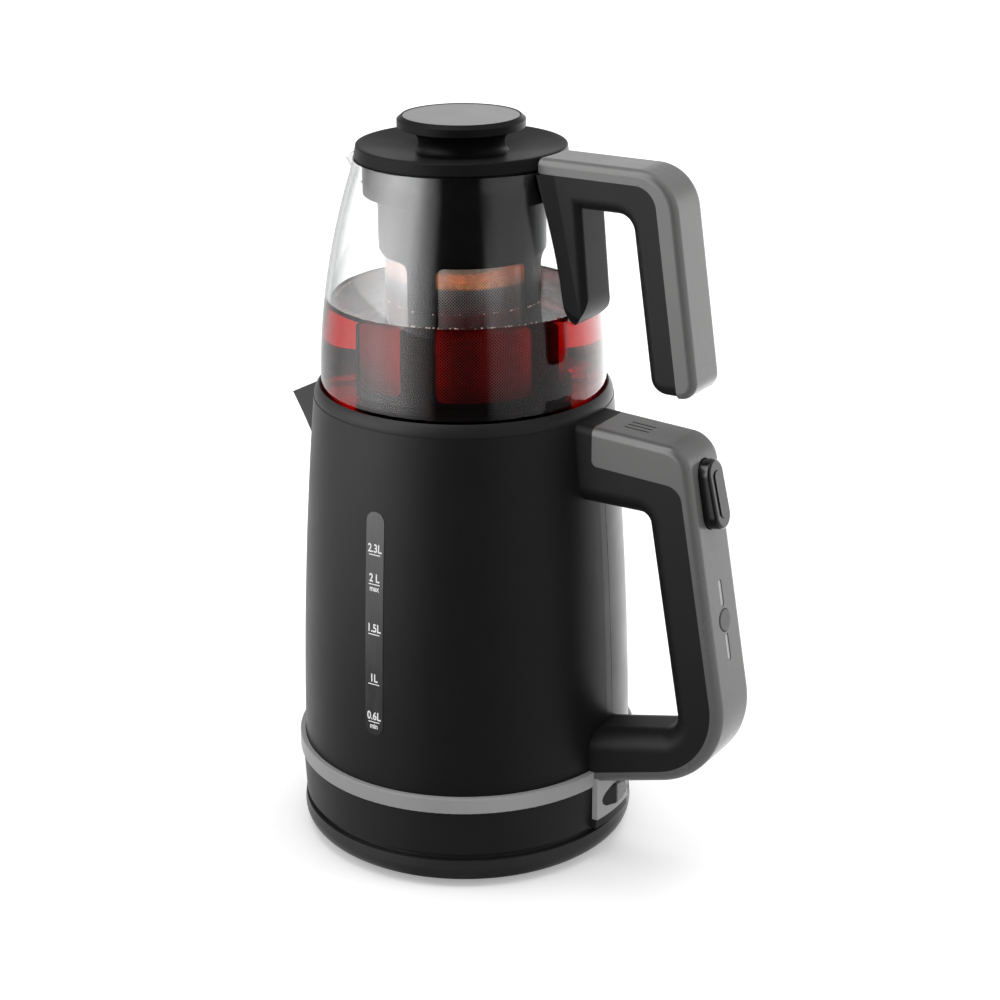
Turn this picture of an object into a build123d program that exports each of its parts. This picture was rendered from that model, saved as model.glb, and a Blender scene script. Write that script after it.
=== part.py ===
from build123d import *
import os
from math import radians, sin, sqrt

# Automatic tea maker: a kettle with its handle and spout, on a round power base, and a
# glass teapot with an infuser basket and a lid that stands in the kettle's collar.
# Millimetres, +Z up. The origin is on the table under the kettle's axis. +X points to
# the handles, -X to the spout and -Y to the level window.

# ---- driving dimensions -------------------------------------------------------------

# fits
seat_gap = 0.05           # between curved faces of pieces that are fixed together
running_gap = 0.4         # between curved faces of pieces that move apart
pin_gap = 0.06            # pin in its bore
screw_gap = 0.05          # screw in its hole

# power base
foot_height = 2.0
foot_radius = 7.0
foot_inset = 14.0         # feet's circle inside the tray's bottom edge
foot_recess = 0.8
tray_height = 12.8
tray_proud = 0.9          # tray's widest circle beyond the skirt's foot
tray_rim_setback = 0.5
tray_undercut = 8.3
tray_wall = 2.2
tray_widest = 8.5         # height of the widest circle above the tray's bottom
ledge_drop = 1.2          # deck ledge below the tray's rim
deck_thickness = 2.8
deck_inset = 0.4
connector_radius = 21.0
connector_flange = 3.0
connector_flange_thickness = 1.0
spigot_radius = 9.0
spigot_height = 9.5
contact_radius = 3.2
contact_bore = 2.0
contact_ring_radius = 14.0
contact_ring_wall = 1.6
contact_height = 2.2
base_screw_inset = 8.0    # base screws' circle inside the tray's bottom edge
base_screw_turn = 22.5    # degrees, which keeps the screws between the feet and the gland
screw_radius = 1.6
screw_head_radius = 3.0
screw_head_height = 1.8
boss_radius = 4.2
gland_angle = 90.0        # direction of the cord gland, from +X towards +Y
gland_radius = 4.6
gland_bore = 3.2
gland_length = 9.0
gland_flange_radius = 5.2
gland_height = 6.0        # gland axis above the tray's bottom
terminal_length = 18.0
terminal_width = 12.0
terminal_height = 6.0

# kettle: skirt, band and vessel
skirt_top_radius = 84.6   # the kettle's main radius, which everything round it follows
skirt_draft = 1.2         # how far the skirt's foot is drawn in
skirt_gap = 0.8           # skirt's underside above the base connector's flange
skirt_height = 23.4
skirt_wall = 2.4
band_height = 8.2
band_proud = 1.2
plate_thickness = 2.0     # skirt's bottom plate
socket_radius = 20.0
socket_height = 12.5
socket_bore_depth = 10.2
body_step = 1.7           # vessel's foot inside the skirt's top
body_height = 178.4
body_taper = 2.7
body_bow = 7.0
shell_wall = 1.2
heater_thickness = 1.6
heater_rise = 1.2         # heater plate above the band's top
element_inset = 30.9      # element's circle inside the vessel's foot
element_radius = 3.6
element_opening = 40.0    # open angle between the element's cold ends
diffuser_thickness = 2.4
diffuser_inset = 19.9
sensor_radius = 4.0
sensor_height = 7.0
steam_tube_radius = 3.2
steam_tube_wall = 0.6
steam_tube_inset = 18.9
steam_tube_height = 150.0

# collar and teapot seat
collar_rise = 6.1         # crest above the vessel's top
collar_shoulder = 2.6     # crest inside the vessel's top
collar_lip = 0.7          # width of the crest
collar_depth = 5.6        # seat below the vessel's top
collar_flange = 2.4
collar_round = 0.2        # drop of the crest's inner edge
mouth_steps = ((1.1, 3.9), (4.1, 7.9))    # inward and down from the crest's inner edge
mouth_foot = 7.9          # inner edge of the seat's slope, inside the crest's inner edge
mouth_gap = 0.6           # between the teapot and the crest
gasket_inset = 13.9       # gasket's outer edge inside the collar's mouth
gasket_width = 6.5
gasket_margin = 2.5       # collar's floor inside the gasket
gasket_rise = 1.4
gasket_depth = 0.8

# level window, on -Y
window_width = 10.1
window_rise = 26.8        # window's lower end above the band
window_length = 113.3
window_thickness = 2.6
window_proud = 0.3
window_seal_width = 3.0
window_seal_thickness = 1.0

# spout, on -X
spout_projection = 32.8   # tip beyond the vessel's top
spout_rim_drop = 1.8      # where the rim meets the vessel, below the vessel's top
spout_dip = 16.4          # tip below the rim's root
spout_depth = 84.4        # lowest point of the beak below the rim's root
spout_tip_radius = 2.4
spout_root_half_width = 21.0
spout_sweep = 0.36        # share of the reach gained by the beak's middle height
spout_tip_lean = 0.75     # reach gained per millimetre of height near the tip
spout_wall = 1.6
spout_trim = 6.0          # beak's blank above the rim before it is trimmed
mouth_half_width = 12.0
mouth_drop = 13.2         # mouth's upper edge below the vessel's top
mouth_height = 39.0
filter_margin = 3.0
filter_thickness = 0.8

# kettle handle
handle_width = 32.0
handle_drop = 0.2         # top arm below the vessel's top, at the vessel
arm_slope = 0.055         # fall of the top arm per millimetre outwards
arm_depth = 39.4
arm_hidden = 13.2         # hidden end of the arms inside the vessel's top, before trimming
grip_lean = 0.174         # outward lean of the grip per millimetre of drop
grip_projection = 53.0    # grip's outer face beyond the skirt at the reference height
grip_reference_drop = 47.7    # reference height below the top arm
grip_thickness = 27.0
low_arm_slope = 0.285
low_arm_rise = 4.4        # underside of the low arm above the band's bottom, at its start
low_arm_offset = 7.4      # start of the low arm beyond the skirt
low_arm_depth = 29.0
low_arm_top_offset = 8.0  # where the low arm's top is measured, beyond its start
low_arm_top_slope = 0.235
outer_edge_round = 3.8
inner_edge_round = 9.5
top_corner = 14.0
low_corner = 42.0
gap_top_corner = 4.5
gap_low_corner = 9.0
cap_offset = 7.8          # outer shell's end on the top arm, beyond the vessel's top
cap_depth = 18.4          # outer shell's depth on the top arm
cap_corner = 3.0
shell_depth = 5.5         # outer shell's depth along the grip
shell_skin = 2.0
cavity_half_width = 11.2
channel_half_width = 8.6
channel_depth = 7.0
channel_margin = 8.0      # solid end of the core's channel, past the board
board_thickness = 1.6
board_half_width = 8.0
board_rise = 37.0         # board's lower end above the low arm's top
board_drop = 20.0         # board's upper end below the top arm's top
anchor_thickness = 1.5
anchor_width = 18.0
anchor_height = 17.0
anchor_rise = 10.2        # middle of the lower anchor above the band
handle_screw_offsets = (12.0, 30.0)    # beyond the low arm's start

# controls on the kettle handle
button_drop = 27.5        # centre of the thumb button below the top arm's top
button_length = 33.5
button_width = 14.4
button_proud = 7.0        # at the button's middle
button_wedge = 0.055      # how much more the button's face leans than the grip
button_rim = 1.6          # rounding of the button's face
button_step = 0.6         # raised oval on the button's face
button_inset_length = 24.0
button_inset_width = 7.6
button_travel = 1.5
button_lip = 0.8
key_rise = 27.4           # round key above the board's lower end
key_radius = 5.2
key_travel = 0.8
key_proud = 0.5
lens_offset = 13.4        # light window's centre from the round key's centre
lens_length = 13.5
lens_width = 3.0
lens_recess = 0.5
switch_length = 12.0
switch_width = 6.4
key_switch_side = 6.0
slot_count = 3
slot_length = 13.0
slot_width = 1.1
slot_pitch = 3.8
slot_offset = 17.0        # slots' middle beyond the outer shell's end
speaker_radius = 9.6
speaker_height = 8.0

# rocker switch below the handle
panel_half_width = 15.5
panel_rise = 5.2          # panel's lower edge above the skirt's
panel_height = 23.6
panel_proud = 1.8         # panel's face beyond the band
panel_depth = 2.9
rocker_rise = 9.2         # rocker's middle above the panel's lower edge
rocker_opening_width = 11.6
rocker_opening_height = 5.4
rocker_end_gap = 1.5
rocker_proud = 1.6        # ridge beyond the panel's face
rocker_drop = 1.7
rocker_depth = 7.6        # rocker's back behind the panel's face
rocker_pin_offset = 2.4   # pin in front of the rocker's back
rocker_throw = 12.0       # degrees each side of the middle
pin_radius = 1.0
ear_thickness = 1.3
block_depth = 14.0
toe_height = 4.4

# glass teapot
glass_corner = 13.3
glass_widest_rise = 17.0  # heights above the teapot's bottom
glass_shoulder_rise = 66.0
glass_neck_rise = 113.0
glass_rim_rise = 6.7      # rim above the neck
glass_shoulder_inset = 4.9    # shoulder and neck inside the widest circle
glass_neck_inset = 16.5
glass_rim_inset = 1.6     # rim inside the neck
glass_wall = 2.4
glass_floor = 3.0
lip_projection = 20.3     # lip's tip beyond the neck
lip_fall = 9.7            # lip's tip below the rim
lip_depth = 27.7          # lip's root below the rim
lip_root_gain = 6.4       # how far beyond the neck the lip's root begins
lip_hollow = 1.5
lip_half_width = 14.0
lip_wall = 2.0

# teapot handle and its bracket
pot_width = 26.0
pot_arm_hidden = 12.8     # hidden end of the arm inside the neck, before trimming
pot_rise = 6.6            # arm's top above the glass's rim
pot_arm_depth = 21.8
pot_lean = 0.147
pot_projection = 68.4     # grip's outer face beyond the neck at the reference height
pot_reference_drop = 22.0     # reference height below the arm's top
pot_thickness = 24.6
pot_drop = 102.8          # grip's end below the arm's top
pot_edge_round = 3.4
pot_inner_round = 6.5     # rounding of the grip core's edges
pot_top_corner = 21.0
pot_gap_corner = 8.0
pot_end_inner = 8.5
pot_end_outer = 8.0
pot_cap_depth = 7.0
pot_shell_depth = 9.8
pot_skin = 2.0
pot_cavity_half_width = 8.6
bracket_root_half_width = 15.0
bracket_projection = 16.2     # bracket's outer face beyond the neck, at the arm
bracket_kick = 7.2        # how much further out the bracket's lower end is
bracket_length = 79.0
bracket_lean = 0.22       # outward lean of the bracket's flared root per millimetre of drop
bracket_seat_inset = 2.8  # root of the flare inside the neck, at the arm's top
bracket_flare = 6.5
bracket_corner = 15.0
bracket_bottom_round = 14.0
bracket_edge_round = 4.0
bracket_seam_drop = 0.4   # bracket's top below the seam of the arm
pad_thickness = 0.8
pot_screw_radius = 1.5

# infuser basket
basket_flange_inset = 1.0     # flange inside the glass's rim
basket_flange = 1.2
basket_gap = 2.0          # collar inside the glass's inner wall at the rim
basket_collar_wall = 1.8
basket_collar_depth = 16.2
basket_step = 2.0
basket_body_inset = 6.8   # body inside the collar
basket_body_wall = 1.7
basket_body_depth = 42.7
basket_cage_inset = 1.1   # cage inside the body
basket_cage_wall = 1.5
basket_clearance = 2.0    # basket's bottom above the glass's floor
basket_rim = 3.4
window_count = 4
basket_window_angle = 67.0
basket_window_turn = -42.0
basket_sill = 7.0         # windows above the basket's bottom
basket_lintel = 2.0       # windows below the basket's body
mesh_thickness = 0.4
mesh_gap = 0.05

# teapot lid
lid_inset = 0.5           # lid inside the glass's rim
lid_thickness = 5.4
lid_draft = 0.9
lid_edge_round = 0.7
lid_dish = 3.4
lid_skin = 2.4
plug_gap = 0.8            # plug inside the basket's collar
plug_wall = 2.2
plug_drop = 6.5
lid_seal_height = 2.2
lid_seal_depth = 0.9
lid_seal_proud = 0.4
knob_foot_radius = 22.4
knob_waist_inset = 2.0
knob_waist_rise = 0.7     # heights above the lid's top
knob_under_rise = 7.4
knob_flare = 7.8          # knob's underside beyond its waist
knob_rim_proud = 2.1
knob_rim_height = 4.0
knob_crown = 1.8
insert_margin = 0.6
insert_thickness = 1.2
insert_drop = 0.2
knob_wall = 3.4
knob_ceiling = 1.4
knob_boss = 5.0
lid_screw_radius = 2.0
lid_screw_length = 15.0
lid_screw_head_radius = 4.0
lid_screw_head = 2.0

# ---- places worked out from the sizes ------------------------------------------------

# power base
skirt_foot_radius = skirt_top_radius - skirt_draft
tray_edge_radius = skirt_foot_radius + tray_proud
tray_rim_radius = tray_edge_radius - tray_rim_setback
tray_bottom_radius = tray_edge_radius - tray_undercut
foot_circle = tray_bottom_radius - foot_inset
base_screw_circle = tray_bottom_radius - base_screw_inset
tray_bottom = foot_height
tray_rim = tray_bottom + tray_height
deck_bottom = tray_rim - ledge_drop
deck_top = deck_bottom + deck_thickness
deck_radius = tray_rim_radius - tray_wall - deck_inset
tray_floor = tray_bottom + tray_wall
connector_top = deck_top + connector_flange_thickness
socket_bottom = connector_top
socket_top = socket_bottom + socket_height

# kettle
skirt_bottom_height = connector_top + skirt_gap
band_bottom = skirt_bottom_height + skirt_height
band_top = band_bottom + band_height
band_radius = skirt_top_radius + band_proud
body_foot_radius = skirt_top_radius - body_step
body_top = band_top + body_height
body_top_radius = body_foot_radius - body_taper - body_bow
vessel_floor = band_top + heater_rise + heater_thickness
element_circle = body_foot_radius - element_inset
diffuser_radius = body_foot_radius - diffuser_inset
steam_tube_offset = body_foot_radius - steam_tube_inset
collar_crest = body_top + collar_rise
collar_crest_radius = body_top_radius - collar_shoulder
collar_mouth_radius = collar_crest_radius - collar_lip
collar_floor = body_top - collar_depth
gasket_outer = collar_mouth_radius - gasket_inset
gasket_inner = gasket_outer - gasket_width
collar_hole_radius = gasket_inner - gasket_margin
window_low = band_top + window_rise
window_high = window_low + window_length
window_middle = (window_low + window_high) / 2
spout_reach = body_top_radius + spout_projection
spout_rim_height = body_top - spout_rim_drop
spout_tip_height = spout_rim_height - spout_dip
spout_root_height = spout_rim_height - spout_depth
mouth_high = body_top - mouth_drop
mouth_low = mouth_high - mouth_height

# kettle handle and its controls
handle_top = body_top - handle_drop
arm_underside = handle_top - arm_depth
handle_end = body_top_radius - arm_hidden
grip_outer = skirt_top_radius + grip_projection
grip_reference = handle_top - grip_reference_drop
low_arm_start = band_bottom + low_arm_rise
low_arm_reach = skirt_top_radius + low_arm_offset
low_arm_top = low_arm_start + low_arm_depth
low_arm_top_reach = low_arm_reach + low_arm_top_offset
cap_start = body_top_radius + cap_offset
board_low = low_arm_top + board_rise
board_high = handle_top - board_drop
button_height = handle_top - button_drop
key_height = board_low + key_rise
slot_centre = cap_start + slot_offset
panel_bottom = skirt_bottom_height + panel_rise
panel_top = panel_bottom + panel_height
panel_radius = band_radius + panel_proud
panel_inner_radius = panel_radius - panel_depth
rocker_height = panel_bottom + rocker_rise
rocker_ridge = panel_radius + rocker_proud
rocker_back = panel_radius - rocker_depth
rocker_pivot = rocker_back + rocker_pin_offset

# glass teapot and its handle
glass_radius = collar_mouth_radius - mouth_gap
glass_bottom = collar_floor + gasket_rise
glass_widest = glass_bottom + glass_widest_rise
glass_shoulder = glass_bottom + glass_shoulder_rise
glass_neck = glass_bottom + glass_neck_rise
glass_rim = glass_neck + glass_rim_rise
glass_shoulder_radius = glass_radius - glass_shoulder_inset
glass_neck_radius = glass_radius - glass_neck_inset
glass_rim_radius = glass_neck_radius - glass_rim_inset
lip_reach = glass_neck_radius + lip_projection
lip_tip_height = glass_rim - lip_fall
lip_root_height = glass_rim - lip_depth
pot_arm_start = glass_neck_radius - pot_arm_hidden
pot_top = glass_rim + pot_rise
pot_underside = pot_top - pot_arm_depth
pot_outer = glass_neck_radius + pot_projection
pot_reference = pot_top - pot_reference_drop
pot_end = pot_top - pot_drop
bracket_outer_top = glass_neck_radius + bracket_projection
bracket_outer_low = bracket_outer_top + bracket_kick
bracket_low = pot_top - bracket_length
bracket_top = pot_top - pot_cap_depth - bracket_seam_drop
bracket_seat = glass_neck_radius - bracket_seat_inset

# infuser basket
basket_flange_radius = glass_rim_radius - basket_flange_inset
basket_collar_radius = glass_rim_radius - glass_wall - basket_gap
basket_collar_low = glass_rim - basket_collar_depth
basket_body_radius = basket_collar_radius - basket_body_inset
basket_body_low = glass_rim - basket_body_depth
basket_cage_radius = basket_body_radius - basket_cage_inset
basket_cage_inner = basket_cage_radius - basket_cage_wall
basket_bottom = glass_bottom + glass_floor + basket_clearance
basket_window_low = basket_bottom + basket_sill
basket_window_high = basket_body_low - basket_lintel
mesh_radius = basket_cage_inner - mesh_gap

# teapot lid
lid_bottom = glass_rim + basket_flange
lid_top = lid_bottom + lid_thickness
lid_radius = glass_rim_radius - lid_inset
lid_edge_radius = lid_radius - lid_draft
plug_outer = basket_collar_radius - basket_collar_wall - plug_gap
knob_waist_radius = knob_foot_radius - knob_waist_inset
knob_waist = lid_top + knob_waist_rise
knob_under = lid_top + knob_under_rise
knob_under_radius = knob_waist_radius + knob_flare
knob_rim_radius = knob_under_radius + knob_rim_proud
knob_rim_top = knob_under + knob_rim_height
knob_top = knob_rim_top + knob_crown
knob_face_radius = knob_rim_radius - knob_rim_proud
insert_radius = knob_face_radius - insert_margin
insert_bottom = knob_top - insert_drop - insert_thickness
knob_hollow = knob_waist_radius - knob_wall
knob_hollow_top = knob_under - knob_ceiling


def body_radius(height):
    """Outer radius of the vessel at a height."""
    share = (height - band_top) / body_height
    return body_foot_radius - body_taper * share - body_bow * share * share


def body_wall_arc(low, high, inset):
    """The vessel's side between two heights, moved inwards, as one arc."""
    middle = (low + high) / 2
    return ThreePointArc(
        (body_radius(low) - inset, low),
        (body_radius(middle) - inset, middle),
        (body_radius(high) - inset, high),
    )


def body_sleeve(low, high, outer_inset, thickness):
    """A sleeve that follows the vessel's side."""
    with BuildPart() as sleeve:
        with BuildSketch(Plane.XZ):
            with BuildLine():
                outside = body_wall_arc(low, high, outer_inset)
                inside = body_wall_arc(low, high, outer_inset + thickness)
                Line(outside @ 0, inside @ 0)
                Line(outside @ 1, inside @ 1)
            make_face()
        revolve(axis=Axis.Z)
    return sleeve.part


def kettle_envelope(grow):
    """Everything inside the kettle's outer surface, for trimming what stands on it."""
    with BuildPart() as envelope:
        with BuildSketch(Plane.XZ):
            with BuildLine():
                side = body_wall_arc(band_top, body_top, -grow)
                Polyline(
                    side @ 0,
                    (band_radius + grow, band_top),
                    (band_radius + grow, band_bottom),
                    (skirt_top_radius + grow, band_bottom),
                    (skirt_foot_radius + grow, skirt_bottom_height),
                    (0, skirt_bottom_height),
                    (0, collar_crest),
                    (body_top_radius + grow, collar_crest),
                    side @ 1,
                )
            make_face()
        revolve(axis=Axis.Z)
    return envelope.part


os.makedirs("parts", exist_ok=True)

# ---- power base ----------------------------------------------------------------------

with BuildPart() as base_tray:
    with BuildSketch(Plane.XZ):
        with BuildLine():
            widest = tray_bottom + tray_widest
            flank = Bezier(
                (tray_bottom_radius, tray_bottom),
                (tray_edge_radius - tray_wall, tray_bottom),
                (tray_edge_radius, tray_bottom + tray_widest / 2),
                (tray_edge_radius, widest),
            )
            rim_inside = tray_rim_radius - tray_wall
            ledge = rim_inside - 2 * tray_wall
            Polyline(
                flank @ 1,
                (tray_rim_radius, tray_rim),
                (rim_inside, tray_rim),
                (rim_inside, deck_bottom),
                (ledge, deck_bottom),
                (ledge, tray_floor),
                (0, tray_floor),
                (0, tray_bottom),
                flank @ 0,
            )
        make_face()
    revolve(axis=Axis.Z)
    with BuildSketch(Plane.XY.offset(tray_floor)):
        with PolarLocations(base_screw_circle, 4, start_angle=base_screw_turn):
            Circle(boss_radius)
    extrude(amount=deck_bottom - tray_floor)
    with BuildSketch(Plane.XY.offset(tray_bottom)):
        with PolarLocations(base_screw_circle, 4, start_angle=base_screw_turn):
            Circle(screw_radius + screw_gap)
    extrude(amount=deck_bottom - tray_bottom, mode=Mode.SUBTRACT)
    with BuildSketch(Plane.XY.offset(tray_bottom)):
        with PolarLocations(base_screw_circle, 4, start_angle=base_screw_turn):
            Circle(screw_head_radius + screw_gap)
        with PolarLocations(foot_circle, 4, start_angle=45):
            Circle(foot_radius + screw_gap)
        Circle(foot_radius + screw_gap)
    extrude(amount=foot_recess, mode=Mode.SUBTRACT)
    with BuildSketch(Plane.XY.offset(tray_bottom)):
        with PolarLocations(base_screw_circle, 4, start_angle=base_screw_turn):
            Circle(screw_head_radius + screw_gap)
    extrude(amount=screw_head_height, mode=Mode.SUBTRACT)
    gland_direction = Vector(1, 0, 0).rotate(Axis.Z, gland_angle)
    gland_start = gland_direction * (tray_edge_radius + gland_bore - gland_length)
    gland_plane = Plane(
        origin=gland_start + Vector(0, 0, tray_bottom + gland_height), z_dir=gland_direction
    )
    with BuildSketch(gland_plane):
        Circle(gland_radius + seat_gap)
    extrude(amount=2 * gland_length, mode=Mode.SUBTRACT)
    with BuildSketch(gland_plane):
        Circle(gland_flange_radius + seat_gap)
    extrude(amount=-2 * gland_length, mode=Mode.SUBTRACT)
base_tray.part.label = "base_tray"
export_step(base_tray.part, "parts/base_tray.step")

with BuildPart() as cord_gland:
    with BuildSketch(gland_plane):
        Circle(gland_radius)
        Circle(gland_bore, mode=Mode.SUBTRACT)
    extrude(amount=gland_length)
    with BuildSketch(gland_plane.offset(-plate_thickness)):
        Circle(gland_flange_radius)
        Circle(gland_bore, mode=Mode.SUBTRACT)
    extrude(amount=plate_thickness)
cord_gland.part.label = "cord_gland"
export_step(cord_gland.part, "parts/cord_gland.step")

with BuildPart() as base_deck:
    with BuildSketch(Plane.XY.offset(deck_bottom)):
        Circle(deck_radius)
        Circle(connector_radius + seat_gap, mode=Mode.SUBTRACT)
    extrude(amount=deck_thickness)
    chamfer(base_deck.edges().group_by(Axis.Z)[-1].sort_by(SortBy.RADIUS)[-1], length=0.6)
    with BuildSketch(Plane.XY.offset(deck_bottom)):
        with PolarLocations(base_screw_circle, 4, start_angle=base_screw_turn):
            Circle(screw_radius + screw_gap)
    extrude(amount=deck_thickness - ledge_drop / 2, mode=Mode.SUBTRACT)
base_deck.part.label = "base_deck"
export_step(base_deck.part, "parts/base_deck.step")

with BuildPart() as base_screws:
    with BuildSketch(Plane.XY.offset(tray_bottom)):
        with PolarLocations(base_screw_circle, 4, start_angle=base_screw_turn):
            Circle(screw_head_radius)
    extrude(amount=screw_head_height)
    with BuildSketch(Plane.XY.offset(tray_bottom + screw_head_height)):
        with PolarLocations(base_screw_circle, 4, start_angle=base_screw_turn):
            Circle(screw_radius)
    extrude(amount=deck_top - ledge_drop - tray_bottom - screw_head_height)
base_screws.part.label = "base_screws"
export_step(base_screws.part, "parts/base_screws.step")

with BuildPart() as base_feet:
    with BuildSketch():
        Circle(foot_radius)
        with PolarLocations(foot_circle, 4, start_angle=45):
            Circle(foot_radius)
    extrude(amount=foot_height + foot_recess)
    chamfer(base_feet.edges().group_by(Axis.Z)[0], length=0.5)
base_feet.part.label = "base_feet"
export_step(base_feet.part, "parts/base_feet.step")

with BuildPart() as base_connector:
    with BuildSketch(Plane.XY.offset(tray_floor)):
        Circle(connector_radius)
    extrude(amount=deck_top - tray_floor)
    with BuildSketch(Plane.XY.offset(deck_top)):
        Circle(connector_radius + connector_flange)
    extrude(amount=connector_flange_thickness)
    with BuildSketch(Plane.XY.offset(connector_top)):
        Circle(spigot_radius)
    extrude(amount=spigot_height)
    chamfer(base_connector.edges().group_by(Axis.Z)[-1], length=0.8)
    with BuildSketch(Plane.XY.offset(connector_top + spigot_height)):
        Circle(contact_radius + seat_gap)
    extrude(amount=-spigot_height, mode=Mode.SUBTRACT)
    with BuildSketch(Plane.XY.offset(connector_top)):
        Circle(contact_ring_radius + contact_ring_wall / 2 + seat_gap)
        Circle(contact_ring_radius - contact_ring_wall / 2 - seat_gap, mode=Mode.SUBTRACT)
    extrude(amount=-contact_height, mode=Mode.SUBTRACT)
base_connector.part.label = "base_connector"
export_step(base_connector.part, "parts/base_connector.step")

with BuildPart() as base_contacts:
    with BuildSketch(Plane.XY.offset(connector_top)):
        Circle(contact_radius)
        Circle(contact_bore, mode=Mode.SUBTRACT)
    extrude(amount=spigot_height - 2 * seat_gap)
    with BuildSketch(Plane.XY.offset(connector_top - contact_height)):
        Circle(contact_ring_radius + contact_ring_wall / 2)
        Circle(contact_ring_radius - contact_ring_wall / 2, mode=Mode.SUBTRACT)
    extrude(amount=contact_height)
base_contacts.part.label = "base_contacts"
export_step(base_contacts.part, "parts/base_contacts.step")

terminal_reach = connector_radius + terminal_length
with BuildPart() as terminal_block:
    with BuildSketch(Plane.XY.offset(tray_floor)):
        with Locations((0, terminal_reach)):
            Rectangle(terminal_width, terminal_length)
    extrude(amount=terminal_height)
    with BuildSketch(Plane.XY.offset(tray_floor + terminal_height)):
        with Locations((0, terminal_reach)):
            with GridLocations(terminal_width / 2, terminal_length / 2, 2, 2):
                Circle(screw_radius)
    extrude(amount=-terminal_height / 2, mode=Mode.SUBTRACT)
terminal_block.part.label = "terminal_block"
export_step(terminal_block.part, "parts/terminal_block.step")

# ---- kettle: socket, skirt, band and heater -------------------------------------------

with BuildPart() as kettle_socket:
    with BuildSketch(Plane.XY.offset(socket_bottom)):
        Circle(socket_radius)
    extrude(amount=socket_height)
    with BuildSketch(Plane.XY.offset(socket_bottom)):
        Circle(spigot_radius + running_gap)
    extrude(amount=socket_bore_depth, mode=Mode.SUBTRACT)
    fillet(kettle_socket.edges().group_by(Axis.Z)[0].sort_by(SortBy.RADIUS)[-1], radius=1.0)
kettle_socket.part.label = "kettle_socket"
export_step(kettle_socket.part, "parts/kettle_socket.step")

socket_ceiling = socket_bottom + socket_bore_depth
with BuildPart() as socket_pin:
    with BuildSketch(Plane.XY.offset(socket_bottom + contact_height)):
        Circle(contact_bore - pin_gap)
    extrude(amount=socket_ceiling - socket_bottom - contact_height)
socket_pin.part.label = "socket_pin"
export_step(socket_pin.part, "parts/socket_pin.step")

spigot_outer = skirt_top_radius - skirt_wall + 1.0
boss_circle = skirt_foot_radius - skirt_wall - boss_radius + 1.0
plate_bottom = skirt_bottom_height + running_gap
plate_top = plate_bottom + plate_thickness
rocker_low = rocker_height - rocker_opening_height
rocker_high = rocker_height + rocker_opening_height
block_low = rocker_low - ear_thickness + 0.2
block_high = rocker_high + ear_thickness - 0.2

with BuildPart() as base_skirt:
    with BuildSketch(Plane.XZ):
        with BuildLine():
            Polyline(
                (skirt_foot_radius, skirt_bottom_height),
                (skirt_top_radius, band_bottom),
                (spigot_outer, band_bottom),
                (spigot_outer, band_top),
                (spigot_outer - skirt_wall, band_top),
                (skirt_top_radius - skirt_wall, band_bottom - skirt_wall),
                (skirt_foot_radius - skirt_wall, skirt_bottom_height),
                close=True,
            )
        make_face()
    revolve(axis=Axis.Z)
    with BuildSketch(Plane.XY.offset(plate_top)):
        with PolarLocations(boss_circle, 3, start_angle=60):
            Circle(boss_radius)
    extrude(amount=band_bottom - skirt_wall - plate_top)
    with BuildSketch(Plane.XY.offset(skirt_bottom_height + running_gap)):
        Circle(panel_radius - 0.6)
        Circle(skirt_foot_radius - skirt_wall / 2, mode=Mode.SUBTRACT)
        with Locations((panel_radius, 0)):
            Rectangle(panel_radius, 2 * panel_half_width, mode=Mode.INTERSECT)
    extrude(amount=toe_height)
    with BuildSketch(Plane.XY.offset(plate_top)):
        with PolarLocations(boss_circle, 3, start_angle=60):
            Circle(screw_radius + screw_gap)
    extrude(amount=block_depth, mode=Mode.SUBTRACT)
    with BuildSketch(Plane.YZ.offset(panel_inner_radius - block_depth)):
        with Locations((0, (block_low + block_high) / 2)):
            Rectangle(2 * rocker_opening_width, block_high - block_low)
    extrude(amount=2 * block_depth, mode=Mode.SUBTRACT)
base_skirt.part.label = "base_skirt"
export_step(base_skirt.part, "parts/base_skirt.step")

with BuildPart() as skirt_plate:
    with BuildSketch(Plane.XY.offset(plate_bottom)):
        Circle(skirt_foot_radius - skirt_wall - seat_gap)
        Circle(socket_radius + running_gap, mode=Mode.SUBTRACT)
        with PolarLocations(boss_circle, 3, start_angle=60):
            Circle(screw_radius + screw_gap, mode=Mode.SUBTRACT)
    extrude(amount=plate_thickness)
skirt_plate.part.label = "skirt_plate"
export_step(skirt_plate.part, "parts/skirt_plate.step")

with BuildPart() as skirt_screws:
    with BuildSketch(Plane.XY.offset(plate_bottom)):
        with PolarLocations(boss_circle, 3, start_angle=60):
            Circle(screw_radius)
    extrude(amount=plate_thickness + block_depth - 1.0)
    with BuildSketch(Plane.XY.offset(plate_bottom)):
        with PolarLocations(boss_circle, 3, start_angle=60):
            Circle(screw_head_radius)
    extrude(amount=-screw_head_height / 2)
skirt_screws.part.label = "skirt_screws"
export_step(skirt_screws.part, "parts/skirt_screws.step")

with BuildPart() as trim_band:
    with BuildSketch(Plane.XY.offset(band_bottom)):
        Circle(band_radius)
        Circle(spigot_outer + seat_gap, mode=Mode.SUBTRACT)
    extrude(amount=band_top - band_bottom)
    rings = trim_band.edges().filter_by(GeomType.CIRCLE)
    fillet(rings.sort_by(SortBy.RADIUS)[-2:], radius=0.6)
trim_band.part.label = "trim_band"
export_step(trim_band.part, "parts/trim_band.step")

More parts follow.
